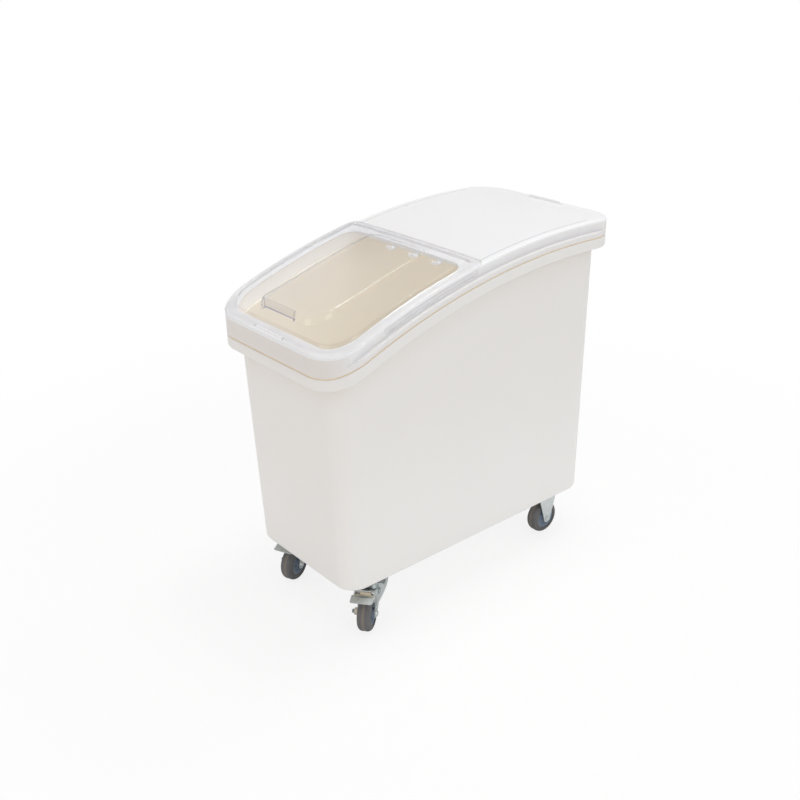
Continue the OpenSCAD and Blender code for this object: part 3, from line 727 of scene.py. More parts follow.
@dataclass(frozen=True)
class ClearFinish(Finish):
    """Clear plastic that lets most of the studio's light through."""

    smoothest: float = 0.015
    roughest: float = 0.03
    grain: float = 0.0
    ior: float = 1.03
    shade: float = 0.12
    coat: float = 0.8
    edge_blend: float = 0.5
    edge_refraction_colour: Colour = (0.48, 0.48, 0.55)
    edge_from: float = 0.46
    edge_to: float = 0.98

    def dress(self, bench: Bench, shader: bpy.types.Node) -> None:
        """Feeds the shader of the material.

        Args:
            bench: Bench of the material's tree.
            shader: The material's shader.
        """
        super().dress(bench, shader)
        colour = shader.inputs["Base Color"].links[0].from_socket
        # Where the sheet is seen edge-on its colour turns darker: painted dark edge lines standing in for
        # refraction.
        edge = bench.add("ShaderNodeLayerWeight", {"Blend": self.edge_blend}).outputs["Facing"]
        share = bench.spread(edge, (self.edge_from, self.edge_to), how="SMOOTHSTEP")
        path = bench.add("ShaderNodeLightPath").outputs
        soft = bench.maths("MAXIMUM", path["Is Shadow Ray"], path["Is Diffuse Ray"])
        bench.feed(shader, {
            "Transmission Weight": 1.0, "IOR": self.ior, "Coat Weight": self.coat,
            "Coat Roughness": self.smoothest, "Alpha": bench.spread(soft, target=(1.0, self.shade)),
            "Base Color": bench.blend(share, colour, rgba(self.edge_refraction_colour))})


# The tub's outside has painted shade in crevices and on front faces, and painted light low down near the
# floor.
TUB_FINISH = MouldedFinish("tub_white", (0.885, 0.865, 0.84), (0.87, 0.845, 0.815), subsurface=0.12,
                           crevice_shade=0.9, front=0.25, low=1.0)
# The inside is a warmer tan than the outside, with a faint painted glow for light let through the walls.
TUB_INSIDE_FINISH = MouldedFinish("tub_inside", (0.87, 0.81, 0.72), (0.855, 0.775, 0.665), smoothest=0.4,
                                  roughest=0.52, subsurface=0.6, glow=0.12)
# Orange-tan paint on the rim's top edge: painted shade of the narrow gap under the cover, warmed by light
# through the plastic.
RIM_GAP_SHADE_FINISH = MouldedFinish("tub_rim_gap_shade", (0.80, 0.62, 0.38), (0.76, 0.57, 0.33))
COVER_FINISH = MouldedFinish("cover_white", (0.895, 0.89, 0.895), (0.88, 0.875, 0.88), smoothest=0.26,
                             roughest=0.38, subsurface=0.25)
# The cover's inside carries a faint painted glow for light let through the plastic.
COVER_INSIDE_FINISH = MouldedFinish("cover_inside", (0.89, 0.885, 0.875), (0.875, 0.87, 0.855), smoothest=0.3,
                                    roughest=0.42, subsurface=0.25, glow=0.2)
# The skirt is a darker, warmer copy of the cover's white: painted shade on its sides, with painted shade in
# crevices and at the front.
SKIRT_SHADE_FINISH = MouldedFinish("cover_skirt_shade", (0.835, 0.82, 0.81), (0.82, 0.805, 0.79), smoothest=0.26,
                             roughest=0.38, subsurface=0.25, crevice_shade=0.9, front=1.0)
# A darker grey for the rear panel's shallow grooves: painted shade in the groove.
GROOVE_SHADE_FINISH = MouldedFinish("cover_groove_shade", (0.74, 0.74, 0.745), (0.72, 0.72, 0.725), smoothest=0.3,
                              roughest=0.42)
LID_FINISH = ClearFinish("lid_clear", (0.98, 0.98, 0.982), (0.975, 0.975, 0.978))
# Indigo painted refraction colour for the line along the foot of the finger pocket.
LID_EDGE_REFRACTION_FINISH = ClearFinish("lid_edge_refraction", (0.52, 0.52, 0.74), (0.48, 0.48, 0.71),
                              edge_refraction_colour=(0.30, 0.30, 0.52), edge_from=0.3)
# Grey-lilac painted shade on the finger pocket's walls.
LID_POCKET_SHADE_FINISH = ClearFinish("lid_pocket_shade", (0.86, 0.86, 0.89), (0.85, 0.85, 0.88))
# A greyer clear for the border: painted shade for the shaded ledge seen through it.
LID_BORDER_SHADE_FINISH = ClearFinish("lid_border", (0.905, 0.90, 0.90), (0.895, 0.89, 0.89),
                                edge_refraction_colour=(0.62, 0.62, 0.67))
# Opaque near-white with a faint glow on the notch's cut edge: a painted highlight.
LID_CUT_HIGHLIGHT_FINISH = Finish("lid_cut_edge_highlight", (0.93, 0.93, 0.94), (0.90, 0.90, 0.92), smoothest=0.2, roughest=0.35,
                        glow=0.1)
ZINC_FINISH = ZincFinish("zinc_plate", (0.66, 0.69, 0.67), (0.58, 0.63, 0.65))
YELLOW_ZINC_FINISH = ZincFinish("zinc_yellow", (0.68, 0.60, 0.46), (0.62, 0.57, 0.48), cloud_scale=70.0,
                                smoothest=0.25)
STUD_FINISH = ZincFinish("zinc_dark", (0.22, 0.27, 0.29), (0.18, 0.22, 0.24), smoothest=0.3, roughest=0.45)
TYRE_FINISH = RubberFinish("tyre_grey", (0.145, 0.14, 0.14), (0.12, 0.118, 0.12), grain=0.00005)
SEAM_FINISH = RubberFinish("tyre_seam", (0.215, 0.185, 0.162), (0.195, 0.168, 0.148))
CORE_FINISH = Finish("core_blue_grey", (0.23, 0.285, 0.36), (0.19, 0.24, 0.31), cloud_scale=30.0,
                     smoothest=0.35, roughest=0.5)


# Tub


@dataclass
class Tub:
    """The white tub: drafted walls, standing lip and the overhanging rim. Sizes in millimetres."""

    base_z: float = 108.0
    top_z: float = 735.0
    side_inset: float = 39.0
    front_inset: float = 44.0
    rear_inset: float = 31.5
    side_draft: float = 1.22
    front_draft: float = 2.07
    rear_draft: float = 0.37
    base_r: float = 43.0
    top_r: float = 51.0
    wall: float = 4.0
    wall_rows: int = 12
    floor: float = 4.0
    edge_r: float = 8.0
    rim_t: float = 4.0
    rim_inner_r: float = 3.0
    rim_edge_rows: int = 2
    band_h: float = 22.0
    band_top_r: float = 3.0
    lip_h: float = 8.0
    lip_fillet: tuple[Flat, ...] = ((-2.0, 0.0), (-0.4, 0.5), (0.0, 2.0))
    lip_foot: float = 4.0
    neck_r: float = 6.0
    neck_guess: float = 650.0
    neck_rounds: int = 3
    round_steps: int = 6
    bead_steps: int = 8

    def walls(self, z: float) -> Outline:
        """Outline of the walls' outer faces.

        Args:
            z: Height over the floor.

        Returns:
            The outline at that height.
        """
        rise = z - self.base_z
        side, front, rear = (inset - rise * math.tan(math.radians(draft)) for inset, draft in (
            (self.side_inset, self.side_draft), (self.front_inset, self.front_draft),
            (self.rear_inset, self.rear_draft)))
        low = self.base_z + self.edge_r
        r = mix(self.base_r, self.top_r, max(z - low, 0.0) / (self.top_z - low))
        return Outline(half_w=BIN_OUTLINE.half_w - side, front=BIN_OUTLINE.front + front,
                       rear=BIN_OUTLINE.rear - rear, front_r=r, rear_r=r)

    def neck_z(self, station: Station, h: float) -> float:
        """Height at which the wall meets the rim's curve moved by h.

        Args:
            station: Stretch of the outline and share along it.
            h: How far the curve is moved up.

        Returns:
            The height over the floor.
        """
        z = self.neck_guess
        for _ in range(self.neck_rounds):
            z = RIM.z(self.walls(z).at(*station)[1], h)
        return z

    def wall_point(self, station: Station, z: float, more: float = 0.0) -> Solid:
        """A point of the wall at a height, moved in by more."""
        x, y = self.walls(z).at(*station, more)
        return x, y, z

    def wall_row(self, z: float, more: float) -> list[Solid]:
        """A loop of the wall at a height, moved in by more."""
        return [self.wall_point(s, z, more) for s in BIN_OUTLINE.stations()]

    def neck_row(self, more: float, h: float, level: float = 0.0) -> list[Solid]:
        """A loop near the top of the wall.

        Args:
            more: How far inside the wall's outer face it lies.
            h: Its height over the rim's curve.
            level: Height over the rim's curve at which the wall is taken.

        Returns:
            The loop's points.
        """
        row = []
        for station in BIN_OUTLINE.stations():
            x, y = self.walls(self.neck_z(station, level)).at(*station, more)
            row.append((x, y, RIM.z(y, h)))
        return row

    def rim_row(self, inset: float, h: float) -> list[Solid]:
        """A loop of the rim at an inset and a height over its curve."""
        return [(x, y, RIM.z(y, h)) for x, y in BIN_OUTLINE.loop(inset)]

    def outer_rings(self) -> list[list[Solid]]:
        """Loops of the outside, from the base's edge to the top of the rim.

        Returns:
            The points of each loop.
        """
        made = []
        quarter, half = sweep(QUARTER, self.round_steps), sweep(math.pi, self.bead_steps)
        for a in quarter:
            made.append(self.wall_row(self.base_z + self.edge_r * (1 - math.cos(a)),
                                      self.edge_r * (1 - math.sin(a))))
        low = self.base_z + self.edge_r
        for k in range(1, self.wall_rows + 1):
            share = k / self.wall_rows
            made.append([self.wall_point(s, mix(low, self.neck_z(s, -self.rim_t) - self.neck_r, share))
                         for s in BIN_OUTLINE.stations()])
        for a in quarter[1:]:
            out, drop = self.neck_r * (1 - math.cos(a)), self.neck_r * (1 - math.sin(a))
            made.append(self.neck_row(-out, -self.rim_t - drop, -self.rim_t))
        for a in quarter:
            made.append(self.rim_row(self.rim_t + self.rim_inner_r * (1 - math.sin(a)),
                                     -self.rim_t - self.rim_inner_r * (1 - math.cos(a))))
        foot_r = self.rim_t / 2
        for a in half:
            made.append(self.rim_row(foot_r + foot_r * math.cos(a),
                                     -self.band_h + foot_r - foot_r * math.sin(a)))
        for a in quarter:
            made.append(self.rim_row(self.band_top_r * (1 - math.cos(a)),
                                     self.band_top_r * (math.sin(a) - 1)))
        return made

    def inner_rings(self) -> list[list[Solid]]:
        """Loops of the standing lip and the inside, down to the floor.

        Returns:
            The points of each loop.
        """
        made = [self.neck_row(more, h) for more, h in self.lip_fillet]
        lip_r = self.wall / 2
        for a in sweep(math.pi, self.bead_steps):
            made.append(self.neck_row(lip_r * (1 - math.cos(a)), self.lip_h - lip_r + lip_r * math.sin(a)))
        low = self.base_z + self.floor
        for k in range(1, self.wall_rows + 1):
            share = k / self.wall_rows
            made.append([self.wall_point(s, mix(self.neck_z(s, self.lip_foot), low + self.edge_r, share),
                                         self.wall) for s in BIN_OUTLINE.stations()])
        for a in reversed(sweep(QUARTER, self.round_steps)[:-1]):
            made.append(self.wall_row(low + self.edge_r * (1 - math.cos(a)),
                                      self.wall + self.edge_r * (1 - math.sin(a))))
        return made

    def build(self) -> None:
        """Builds the tub and dresses it."""
        draft = Draft()
        outer, inner = self.outer_rings(), self.inner_rings()
        rows = [draft.ring(points) for points in outer + inner]
        inside_from = len(outer) - 1
        # The rim's top edge, under the cover's gap, takes the orange-tan painted shade of that gap.
        for k, (a, b) in enumerate(zip(rows, rows[1:])):
            if k >= inside_from:
                face = TubFace.INSIDE
            elif k >= inside_from - self.rim_edge_rows:
                face = TubFace.RIM_EDGE
            else:
                face = TubFace.OUTSIDE
            draft.bridge(a, b, face)
        draft.cap(rows[0])
        draft.cap(rows[-1])
        draft.bm.faces.ensure_lookup_table()
        draft.bm.faces[-1].material_index = TubFace.INSIDE
        draft.piece("tub_shell", [TUB_FINISH, TUB_INSIDE_FINISH, RIM_GAP_SHADE_FINISH], "tub_body",
                    ["tub"])


# Cover


@dataclass
class Cover:
    """The white cover: skirt, rails, rear panel, opening, crossbar, hooks and stop."""

    top_h: float = 36.0
    gap: float = 1.8
    wall: float = 4.0
    roof: float = 3.5
    bead_h: float = 13.0
    rail_low: float = 28.5
    side_x: float = 200.0
    groove_x: float = 190.0
    rail_x: float = 196.5
    top_r: float = 4.5
    seat_inset: float = 20.5
    seat_t: float = 3.5
    seat_h: float = 0.3
    crown: float = 1.8
    crown_half: float = 185.0
    crown_end: float = 365.0
    crown_fade: float = 60.0
    blend_power: float = 1.5
    opening: Outline = Outline(half_w=172.0, front=-347.0, rear=-45.0, front_r=51.0, rear_r=30.0)
    opening_out: float = 0.5
    opening_steps: int = 6
    panel_groove: Outline = Outline(half_w=1.6, front=-15.0, rear=285.0, front_r=1.6, rear_r=1.6,
                                    corner_steps=5, side_steps=56, end_steps=1, least_r=0.4)
    panel_groove_x: float = 180.0
    panel_groove_rows: tuple[Flat, ...] = ((0.0, 0.0), (0.35, 0.9), (0.9, 1.4))
    panel_groove_d: float = 1.5
    crossbar_y: float = -45.0
    crossbar_h: float = 6.0
    crossbar_half: float = 176.0
    crossbar_steps: int = 40
    crossbar_front: float = 0.3
    crossbar_root: float = 0.6
    crossbar_round: tuple[Flat, ...] = ((0.0, 1.2), (0.5, 0.3), (1.4, 0.0))
    crossbar_ease: float = 2.0
    crossbar_ease_from: float = 150.0
    crossbar_ease_run: float = 26.0
    hook_pitch: float = 68.0
    hook_w: float = 14.0
    hook_t: float = 4.0
    hook_reach: float = 14.0
    hook_drop: float = 6.0
    hook_root: float = 3.0
    hook_edge: float = 0.5
    hook_shift: float = 33.0
    stop_w: float = 96.0
    stop_y: float = 353.0
    stop_t: float = 4.0
    stop_h: float = 6.0
    stop_root: float = 2.0
    stop_steps: int = 24
    stop_fall: float = 3.0
    stop_fall_run: float = 4.0
    stop_round: tuple[Flat, ...] = ((0.0, 1.2), (0.4, 0.3), (1.3, 0.0))
    skirt_rings: int = 15
    round_steps: int = 6
    rail_face_x: float = 189.6
    bead_edge: float = 0.3
    top_pitch: float = 11.0
    under_pitch: float = 14.0
    plain_pitch: float = 400.0

    def z(self, y: float, h: float) -> float:
        """Height over the floor, passing from the rim's curve at the foot to the top's curve."""
        share = min(max(h / self.top_h, 0.0), 1.0) ** self.blend_power
        return mix(RIM.z(y, h), TOP.z(y, h), share)

    def crowned(self, x: float, y: float) -> float:
        """How much the top swells at a place in plan."""
        fade = smooth((self.crown_end - y) / self.crown_fade) * smooth((y + self.crown_end) / self.crown_fade)
        return self.crown * max(1 - (x / self.crown_half) ** 2, 0.0) * fade

    def roof_z(self, x: float, y: float, drop: float = 0.0) -> float:
        """Height of the swelling top, or of what lies a drop under it."""
        return self.z(y, self.top_h - drop) + self.crowned(x, y)

    def ring(self, inset: float, h: float, limit: float = 1000.0) -> list[Solid]:
        """A loop of the cover, cut straight on both sides.

        Args:
            inset: How far inside the bin's outline it lies.
            h: Its height over the rim's curve.
            limit: The largest X that it has.

        Returns:
            The loop's points.
        """
        row = []
        for x, y in BIN_OUTLINE.loop(inset):
            x = math.copysign(min(abs(x), limit), x)
            row.append((x, y, self.z(y, h)))
        return row

    def outer_rings(self) -> list[list[Solid]]:
        """Loops of the outside, from the skirt's foot to the edge of the top.

        Returns:
            The points of each loop.
        """
        wide, deep, rail = self.side_x, self.groove_x, self.rail_x
        bead, low = self.bead_h, self.rail_low
        made = [self.ring(1.4, self.gap), self.ring(0.4, self.gap + 0.4), self.ring(0, self.gap + 1.4)]
        for h, limit in (
            (bead - 3.5, wide), (bead - 1.6, wide - 0.5), (bead - 0.4, wide - 1.7), (bead, wide - 3.2),
            (bead, deep + 2.0), (bead + 0.5, deep + 0.6), (bead + 2.0, deep), (low - 2.0, deep),
            (low - 0.5, deep + 0.5), (low, deep + 2.0), (low, rail - 1.6), (low + 0.5, rail - 0.5),
            (low + 1.6, rail),
        ):
            made.append(self.ring(0, h, limit))
        r = self.top_r
        for a in sweep(QUARTER, self.round_steps):
            inset = r * (1 - math.cos(a))
            made.append(self.ring(inset, self.top_h - r + r * math.sin(a), rail - inset))
        return made

    def inner_rings(self) -> list[list[Solid]]:
        """Loops of the inside, from the skirt's foot to the inner side of the seat flange.

        Returns:
            The points of each loop.
        """
        back = self.groove_x - self.wall
        under = self.top_h - self.roof
        shelf = self.bead_h - self.wall
        made = [self.ring(self.wall - 0.4, self.gap + 0.2), self.ring(self.wall, self.gap + 1.0)]
        for h, limit in ((shelf - 1, self.side_x - self.wall), (shelf, self.side_x - self.wall - 1),
                         (shelf, back + 1), (shelf + 1, back), (under - 2, back), (under, back - 2)):
            made.append(self.ring(self.wall, h, limit))
        outer, inner = self.seat_inset, self.seat_inset + self.seat_t
        for inset, h in ((outer - 2, under), (outer, under - 2), (outer, self.seat_h + 1.2),
                         (outer + 0.5, self.seat_h), (inner - 0.5, self.seat_h),
                         (inner, self.seat_h + 1.2), (inner, under - 1), (inner + 1, under)):
            made.append(self.ring(inset, h))
        return made

    def opening_rings(self) -> list[list[Solid]]:
        """Loops of the opening's round edge, from the top to the underside.

        Returns:
            The points of each loop.
        """
        made = []
        r = self.roof / 2
        for a in sweep(math.pi, self.opening_steps):
            loop = self.opening.loop(-r + r * math.sin(a) - self.opening_out)
            h = self.top_h - r + r * math.cos(a)
            made.append([(x, y, self.z(y, h) + self.crowned(x, y)) for x, y in loop])
        return made

    def build_panel_groove(self, draft: Draft, side: Side) -> list:
        """Sinks the shallow groove along a side of the rear panel.

        Args:
            draft: The mesh to add to.
            side: The side of the panel.

        Returns:
            The vertices of the groove's edge.
        """
        rows = []
        for inset, drop in self.panel_groove_rows:
            row = [(x + side.sign * self.panel_groove_x, y) for x, y in self.panel_groove.loop(inset)]
            rows.append([(x, y, self.roof_z(x, y, drop)) for x, y in row])
        # The groove's faces take the darker grey: painted shade in the groove.
        made = draft.loft(rows, CoverFace.GROOVE)
        draft.skin(made[-1], [], lambda x, y: self.roof_z(x, y, self.panel_groove_d), self.plain_pitch,
                   CoverFace.GROOVE)
        return made[0]

    def build_shell(self) -> None:
        """Builds the cover's shell and dresses it."""
        draft = Draft()
        outer = [draft.ring(points) for points in self.outer_rings()]
        # The skirt takes its darker copy of the white as painted shade; the rails' outer faces above the bead
        # keep the lighter top white.
        for k, (a, b) in enumerate(zip(outer, outer[1:])):
            draft.bridge(a, b, CoverFace.SKIRT if k < self.skirt_rings else CoverFace.TOP)
        for face in draft.bm.faces:
            spot = face.calc_center_median()
            if abs(spot.x) > self.rail_face_x and spot.z > self.z(spot.y, self.bead_h - self.bead_edge):
                face.material_index = CoverFace.TOP
        inner = draft.loft(self.inner_rings(), CoverFace.INSIDE)
        draft.bridge(inner[0], outer[0], CoverFace.INSIDE)
        hole = draft.loft(self.opening_rings(), CoverFace.TOP)
        grooves = [self.build_panel_groove(draft, side) for side in Side]
        draft.skin(outer[-1], [hole[0]] + grooves, self.roof_z, self.top_pitch)
        draft.skin(inner[-1], [hole[-1]], lambda x, y: self.roof_z(x, y, self.roof), self.under_pitch,
                   CoverFace.INSIDE)
        draft.piece("cover_shell", [COVER_FINISH, COVER_INSIDE_FINISH, SKIRT_SHADE_FINISH, GROOVE_SHADE_FINISH],
                    "cover_body", ["cover"])

    def hook_section(self) -> list[Flat]:
        """Section of a scoop hook, with round edges.

        Returns:
            Its points, along the bin and up.
        """
        y, t = self.crossbar_y, self.hook_t
        foot = self.z(y, self.top_h - self.crossbar_h) - self.hook_drop
        root, bed, top = foot + self.hook_drop + self.hook_root, foot + t, foot + 2 * t
        back, tip = y + t, y - self.hook_reach
        mouth = tip + t
        return [(back, root), (back, foot + 3), (back - 0.9, foot + 0.9), (back - 3, foot), (tip + 2, foot),
                (tip + 0.6, foot + 0.6), (tip, foot + 2), (tip, top - 1.5), (tip + 0.5, top - 0.4),
                (tip + 1.6, top), (mouth - 1.5, top), (mouth - 0.4, top - 0.5), (mouth, top - 1.6),
                (mouth, bed + 1), (mouth + 1, bed), (y - 2.5, bed), (y - 0.7, bed + 0.7), (y, bed + 2.5),
                (y, root)]

    def build_crossbar(self) -> None:
        """Builds the bar across the rear of the opening, with its scoop hooks."""
        draft = Draft()
        y0, y1 = self.crossbar_y + self.crossbar_front, self.crossbar_y + self.wall
        rows = []
        for k in range(self.crossbar_steps + 1):
            x = mix(-self.crossbar_half, self.crossbar_half, k / self.crossbar_steps)
            top = self.roof_z(x, y0, self.roof) + self.crossbar_root
            foot = self.z(y0, self.top_h - self.crossbar_h)
            foot += self.crossbar_ease * smooth((abs(x) - self.crossbar_ease_from) / self.crossbar_ease_run)
            rows.append([(x, y0, top)] + [(x, y0 + a, foot + b) for a, b in self.crossbar_round]
                        + [(x, y1 - a, foot + b) for a, b in reversed(self.crossbar_round)] + [(x, y1, top)])
        draft.closed_loft(rows)
        section, edge, width = self.hook_section(), self.hook_edge, self.hook_w
        for i in (-1, 0, 1):
            x0 = self.hook_shift + i * self.hook_pitch - width / 2
            draft.closed_loft([[(x0 + dx, py, pz) for py, pz in self.pulled(section, pull)] for dx, pull in (
                (0.0, edge), (edge, 0.0), (width - edge, 0.0), (width, edge))])
        draft.piece("cover_crossbar", [COVER_FINISH], "cover_body")

    @staticmethod
    def pulled(section: Sequence[Flat], pull: float) -> list[Flat]:
        """A closed section with every point drawn in along its corner's normal.

        Args:
            section: Points of the section.
            pull: How far they are drawn in.

        Returns:
            The new points.
        """
        made = []
        count = len(section)
        for i, (a, b) in enumerate(section):
            before, after = Vector(section[i - 1]), Vector(section[(i + 1) % count])
            along = (after - before).normalized()
            made.append((a + along.y * pull, b - along.x * pull))
        return made

    def build_stop(self) -> None:
        """Builds the stop at the rear edge."""
        draft = Draft()
        rows = []
        y0, y1 = self.stop_y, self.stop_y + self.stop_t
        for k in range(self.stop_steps + 1):
            x = mix(-self.stop_w / 2, self.stop_w / 2, k / self.stop_steps)
            end = self.stop_w / 2 - abs(x)
            low = self.roof_z(x, y0, self.stop_root)
            high = self.z(y0, self.top_h + self.stop_h)
            high -= self.stop_fall * (1 - min(end / self.stop_fall_run, 1)) ** 2
            rows.append([(x, y0, low), (x, y1, low)] + [(x, y1 - a, high - b) for a, b in self.stop_round]
                        + [(x, y0 + a, high - b) for a, b in reversed(self.stop_round)])
        draft.closed_loft(rows)
        draft.piece("cover_stop", [COVER_FINISH], "cover_body")

    def build(self) -> None:
        """Builds every piece of the cover."""
        self.build_shell()
        self.build_crossbar()
        self.build_stop()


COVER = Cover()


# Clear lid


@dataclass(frozen=True)
class Arc:
    """A rounded corner of the dome's foot.

    Bulge is 1 where the corner points outwards and -1 where it points inwards. Normal is the outward
    normal at the corner's start, and turn the angle through which it turns.
    """

    centre: Vector
    radius: float
    bulge: int
    normal: Vector
    turn: float

    def at(self, step: int, steps: int) -> tuple[Vector, Vector]:
        """A point of the corner.

        Args:
            step: The point's number.
            steps: Number of steps round the corner.

        Returns:
            The point and the outward normal there.
        """
        normal = self.normal.copy()
        normal.rotate(Matrix.Rotation(self.turn * step / steps, 2))
        return self.centre + normal * self.radius * self.bulge, normal


@dataclass
class ClearLid:
    """The clear lid: border with side flanges, raised panel, wedge dome and finger pocket."""

    low_h: float = 36.5
    foot_gap: float = 0.2
    top_h: float = 40.0
    panel_h: float = 47.0
    thick: float = 1.8
    border: float = 20.0
    flange_x: float = 199.0
    lip_h: float = 22.5
    lip_y0: float = -261.0
    lip_y1: float = -37.0
    notch_half: float = 46.0
    notch_d: float = 6.0
    notch_flank: float = 4.0
    notch_follow: float = 0.4
    notch_drop: float = 0.65
    cut_from: float = 4.0
    cut_to: float = 7.2
    dome_front: float = -332.0
    dome_rear: float = -56.0
    dome_half_front: float = 92.0
    dome_half_rear: float = 86.0
    dome_right_r: float = 40.0
    dome_left_r: float = 16.0
    dome_rear_r: float = 22.0
    dome_h: float = 14.5
    dome_rear_h: float = 1.6
    dome_least: float = 3.4
    dome_soft: float = 3.0
    dome_fillet: tuple[Flat, ...] = ((2.2, 0.0), (0.7, 0.35))
    slope_front: float = 15.0
    slope_rear: float = 8.0
    corner_steps: int = 10
    foot_pitch: float = 7.0
    edge_r: float = 11.0
    edge_share: float = 0.9
    edge_least: float = 3.0
    edge_steps: int = 7
    pocket_half: float = 49.0
    pocket_mid: float = -24.0
    pocket_d: float = 5.0
    pocket_r: float = 2.4
    pocket_outer_r: float = 2.8
    pocket_inner_r: float = 3.0
    pocket_beside: float = 12.0
    pocket_beside_fade: float = 10.0
    pocket_behind: float = 34.0
    pocket_behind_fade: float = 14.0
    pocket_margin: float = 1.5
    pocket_ahead: float = 3.0
    pocket_line: float = 2.4
    least_rise: float = 0.05
    skin_pitch: float = 10.0
    guide_in: float = 192.8
    guide_out: float = 196.9
    guide_h: float = 5.0
    guide_end: float = 6.0
    guide_steps: int = 40
    guide_section: tuple[Flat, ...] = ((0.2, 0.0), (1.0, 0.0), (1.0, 1.0), (0.2, 1.0), (0.0, 0.8), (0.0, 0.2))
    outline: Outline = Outline(half_w=200.0, front=-375.0, rear=-15.0, front_r=79.0, rear_r=20.0,
                               side_steps=60, end_steps=40, least_r=4.0)

    def foot_h(self, x: float, y: float) -> float:
        """Height of the lid's lower edge over the rim's curve."""
        hangs = abs(x) > self.flange_x and self.lip_y0 < y < self.lip_y1
        return self.lip_h if hangs else self.low_h + self.foot_gap

    def ring(self, inset: float, h: float | None) -> list[Solid]:
        """A loop of the border.

        Args:
            inset: How far inside the lid's outline it lies.
            h: Its height over the rim's curve, or None to follow the lower edge.

        Returns:
            The loop's points.
        """
        row = []
        for stretch, share in self.outline.stations():
            x, y = self.outline.at(stretch, share, inset)
            cut = 0.0
            if stretch is Stretch.FRONT:
                cut = smooth((self.notch_half + self.notch_flank / 2 - abs(x)) / self.notch_flank)
                y = max(y, mix(y, self.outline.front + self.notch_d + inset * self.notch_follow, cut))
            level = self.foot_h(x, y) - self.notch_drop * cut if h is None else h
            row.append((x, y, TOP.z(y, level) + COVER.crowned(x, y)))
        return row

    def border_rings(self) -> list[list[Solid]]:
        """Loops of the border, from the lower edge to the edge of the raised panel.

        Returns:
            The points of each loop.
        """
        b, top, panel = self.border, self.top_h, self.panel_h
        return [self.ring(inset, h) for inset, h in (
            (0, None), (0, top - 2.2), (0.35, top - 0.9), (1.2, top - 0.2), (2.4, top), (b * 0.5, top),
            (b - 3.0, top), (b - 1.2, top + 0.4), (b - 0.2, top + 1.4), (b + 0.2, top + 2.8),
            (b + 0.8, panel - 2.4), (b + 1.4, panel - 1.0), (b + 2.6, panel - 0.2), (b + 4.2, panel))]

    def panel_z(self, x: float, y: float) -> float:
        """Height of the raised panel."""
        return TOP.z(y, self.panel_h) + COVER.crowned(x, y)

    def dome_z(self, x: float, y: float) -> float:
        """Height of the dome's sloped top.

        Args:
            x: Place across the bin.
            y: Place along the bin.

        Returns:
            The height over the floor.
        """
        y0, y1 = self.dome_front + self.slope_front, self.dome_rear - self.slope_rear
        z0 = TOP.z(y0, self.panel_h) + self.dome_h
        z1 = TOP.z(y1, self.panel_h) + self.dome_rear_h
        base = self.panel_z(x, y)
        rise = mix(z0, z1, (y - y0) / (y1 - y0)) + COVER.crowned(x, y) - base - self.dome_least
        return base + self.dome_least + 0.5 * (rise + math.hypot(rise, self.dome_soft))

    def dome_arcs(self) -> list[Arc]:
        """Rounds the corners of the dome's foot.

        Returns:
            The rounded corners in order.
        """
        front, rear, back = self.dome_front, self.dome_rear, self.dome_front + self.pocket_d
        wide, slim = self.dome_half_front, self.dome_half_rear
        left, right = self.pocket_mid - self.pocket_half, self.pocket_mid + self.pocket_half
        corners = [((wide, front), self.dome_right_r, 1), ((slim, rear), self.dome_rear_r, 1),
                   ((-slim, rear), self.dome_rear_r, 1), ((-wide, front), self.dome_left_r, 1),
                   ((left, front), self.pocket_outer_r, 1), ((left, back), self.pocket_inner_r, -1),
                   ((right, back), self.pocket_inner_r, -1), ((right, front), self.pocket_outer_r, 1)]
        made = []
        for i, (corner, radius, bulge) in enumerate(corners):
            here = Vector(corner)
            into = (here - Vector(corners[i - 1][0])).normalized()
            out = (Vector(corners[(i + 1) % len(corners)][0]) - here).normalized()
            turn = into.angle_signed(out)
            begin = here - into * (radius * math.tan(abs(turn) / 2))
            normal = Vector((into.y, -into.x))
            made.append(Arc(begin - normal * radius * bulge, radius, bulge, normal, -turn))
        return made

    def dome_path(self) -> list[tuple[Flat, Flat, float]]:
        """Runs round the dome's foot.

        Returns:
            Its points with their outward normals and the radius of the edge above.
        """
        arcs = self.dome_arcs()
        spots = []
        for i, arc in enumerate(arcs):
            spots += [arc.at(k, self.corner_steps) for k in range(self.corner_steps + 1)]
            last, normal = spots[-1]
            begin, _ = arcs[(i + 1) % len(arcs)].at(0, self.corner_steps)
            inner = max(int((begin - last).length / self.foot_pitch), 1)
            spots += [(last.lerp(begin, k / inner), normal) for k in range(1, inner)]
        return [((spot.x, spot.y), (normal.x, normal.y), self.edge_at(spot)) for spot, normal in spots]

    def edge_at(self, spot: Vector) -> float:
        """Radius of the dome's upper edge.

        Args:
            spot: Point of the dome's foot under it.

        Returns:
            The radius.
        """
        beside = self.pocket_half + self.pocket_beside - abs(spot.x - self.pocket_mid)
        behind = self.dome_front + self.pocket_behind - spot.y
        near = smooth(beside / self.pocket_beside_fade) * smooth(behind / self.pocket_behind_fade)
        height = self.dome_z(spot.x, spot.y) - self.panel_z(spot.x, spot.y)
        return mix(min(self.edge_r, max(height * self.edge_share, self.edge_least)), self.pocket_r, near)

